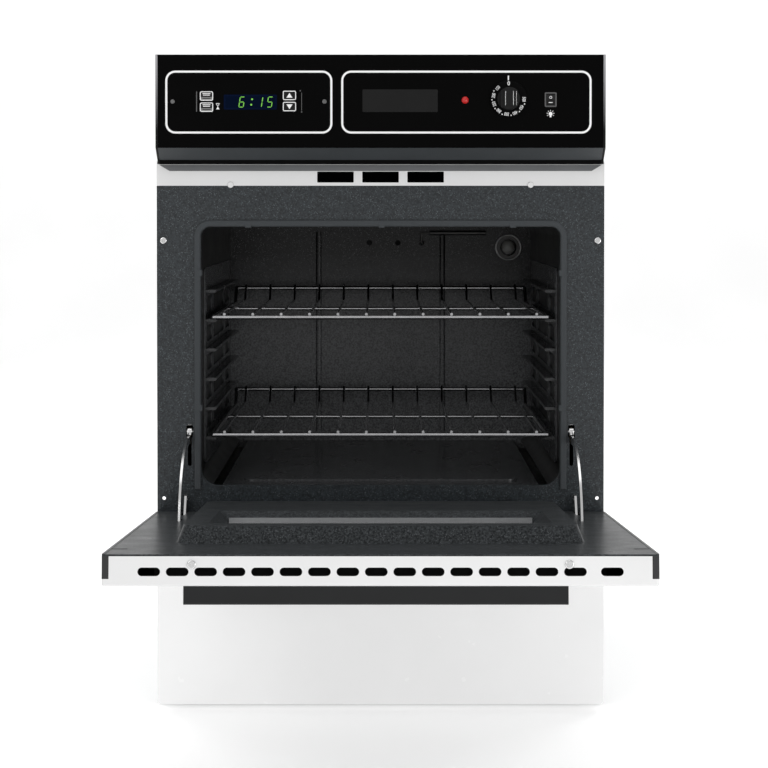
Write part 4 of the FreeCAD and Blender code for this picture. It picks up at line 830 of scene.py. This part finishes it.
# ---------------------------------------------------------------- door details, built on the closed door
door_hinge = next(j for j in frame["record"]["behaviour"]["joints"] if j["name"] == "oven_door_hinge")
PIVOT = Matrix.Translation(Vector(door_hinge["pos_m"]))
OPEN_DOOR = PIVOT @ Matrix.Rotation(math.radians(-min(door_hinge["range_deg"])), 4, "X") @ PIVOT.inverted()


def closed_box(node):
    """A door node's corners with the door shut."""
    back = OPEN_DOOR.inverted()
    points = [back @ v.co for v in NODES[node].data.vertices]
    return (Vector([min(p[k] for p in points) for k in range(3)]),
            Vector([max(p[k] for p in points) for k in range(3)]))


def add_door_piece(name, bm, material):
    """A piece drawn on the closed door, swung to the open rest pose."""
    bmesh.ops.transform(bm, matrix=OPEN_DOOR, verts=bm.verts)
    return add_piece(name, bm, material, "oven_door")


liner_lo, liner_hi = closed_box("door_inner_panel")
_, trim_hi = closed_box("door_side_trims")
pane_lo, pane_hi = closed_box("door_window_inner")
LINER_Y = trim_hi.y + 1.7 * MM         # inner face of the liner's flat border


def door_edge_beads():
    """Black edging over both long sides of the liner, and a black mark near the top of each, a painted shade
    for the dark inside of a fixing slot.
    """
    wide, thick, margin = 3.4 * MM, 0.35 * MM, 3.0 * MM
    for side, word in ((-1, "left"), (1, "right")):
        edge = liner_hi.x * side
        x0, x1 = sorted((edge - side * 0.1 * MM, edge - side * wide))
        bm = bmesh.new()
        prism(bm, rounded_outline(x0, x1, liner_lo.z + margin, liner_hi.z - margin, 1.0 * MM, 3),
              LINER_Y - EMBED, LINER_Y + thick)
        slot_x, slot_z = edge - side * 12.0 * MM, liner_hi.z - 52.0 * MM
        prism(bm, rounded_outline(slot_x - 9 * MM, slot_x + 9 * MM, slot_z - 1.2 * MM, slot_z + 1.2 * MM,
                                  1.1 * MM, 3), LINER_Y - EMBED, LINER_Y + thick)
        add_door_piece("door_edge_bead_" + word, bm, FINISHES["trim_black"].material)


def window_retainer():
    """Bright strip that holds the inner pane along its hinge side."""
    inset, height, thick = 9.0 * MM, 5.5 * MM, 0.8 * MM
    end = 6.0 * MM
    low = pane_lo.z + inset
    bm = bmesh.new()
    prism(bm, rounded_outline(pane_lo.x + end, pane_hi.x - end, low, low + thick, thick * 0.45, 3),
          pane_hi.y + 0.05 * MM, pane_hi.y + height)
    add_door_piece("window_retainer", bm, FINISHES["end_trim"].material)


# ---------------------------------------------------------------- springs inside the cabinet
def tube_along(bm, points, radius, sides=8):
    """A round wire swept along a route."""
    rings = []
    for k, at in enumerate(points):
        run = (points[min(k + 1, len(points) - 1)] - points[max(k - 1, 0)]).normalized()
        across = run.cross(Vector((0, 1, 0)) if abs(run.y) < 0.9 else Vector((1, 0, 0))).normalized()
        over = run.cross(across)
        rings.append([bm.verts.new(at + radius * (across * math.cos(a) + over * math.sin(a)))
                      for a in (2 * math.pi * j / sides for j in range(sides))])
    for a, b in zip(rings, rings[1:]):
        for j in range(sides):
            i = (j + 1) % sides
            bm.faces.new((a[j], b[j], b[i], a[i]))
    bm.faces.new(rings[0])
    bm.faces.new(rings[-1][::-1])


def hinge_spring_coils():
    """The two counterbalance springs as real coils with straight hooked ends."""
    lo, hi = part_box("hinge_springs")
    wire, pitch, steps = 0.95 * MM, 4.4 * MM, 14
    outer = (hi.y - lo.y) / 2
    radius = outer - wire
    low, high = lo.z + 9 * MM, hi.z - 9 * MM
    turns = round((high - low) / pitch)
    for side, word in ((-1, "left"), (1, "right")):
        centre = Vector((side * (hi.x - outer), (lo.y + hi.y) / 2, 0))
        points = [centre + Vector((0, 0, lo.z + wire)), centre + Vector((0, 0, low - 3 * MM))]
        for k in range(turns * steps + 1):
            a = 2 * math.pi * k / steps
            points.append(centre + Vector((radius * math.cos(a), radius * math.sin(a),
                                           low + (high - low) * k / (turns * steps))))
        points += [centre + Vector((0, 0, high + 3 * MM)), centre + Vector((0, 0, hi.z - wire))]
        bm = bmesh.new()
        tube_along(bm, points, wire)
        coil = add_piece("hinge_spring_" + word, bm, FINISHES["bright_steel"].material, "cabinet",
                         True)
        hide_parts("hinge_springs")


# ---------------------------------------------------------------- studio floor
def make_floor():
    """A pale floor that curves up into a backdrop well behind the oven."""
    paint = Paint("studio_floor", (0.86, 0.86, 0.86), 0.75, Emission_Color=(1, 1, 1, 1),
                  Emission_Strength=0.34)
    paint.colour(paint.ramp(paint.noise(3, 2.0), [(0.35, 0.84), (0.65, 0.87)]))
    depth, radius, height = 4.5, 1.5, 4.0
    profile = [(-6.0, -0.001), (depth, -0.001)]
    for k in range(1, 13):
        a = math.radians(90 * k / 12)
        profile.append((depth + radius * math.sin(a), radius * (1 - math.cos(a)) - 0.001))
    profile.append((depth + radius, height))
    mesh = bpy.data.meshes.new("studio_floor")
    wide = 7.0
    vertices = [(x, y, z) for y, z in profile for x in (-wide, wide)]
    faces = [(2 * k, 2 * k + 1, 2 * k + 3, 2 * k + 2) for k in range(len(profile) - 1)]
    mesh.from_pydata(vertices, [], faces)
    for polygon in mesh.polygons:
        polygon.use_smooth = True
    floor = bpy.data.objects.new("studio_floor", mesh)
    mesh.materials.append(paint.material)
    bpy.context.scene.collection.objects.link(floor)


panel_outlines()
clock_divider_lines()
hourglass()
for key_node in KEY_NODES:
    key_legend(key_node)
display_glow()
display_figures()
name_plate()
strip_painted_shadow()
lamp_ring()
knob_ribs()
dial_figures()
index_mark()
light_switch_marks()
rocker_marks()
door_edge_beads()
window_retainer()
hinge_spring_coils()
make_floor()
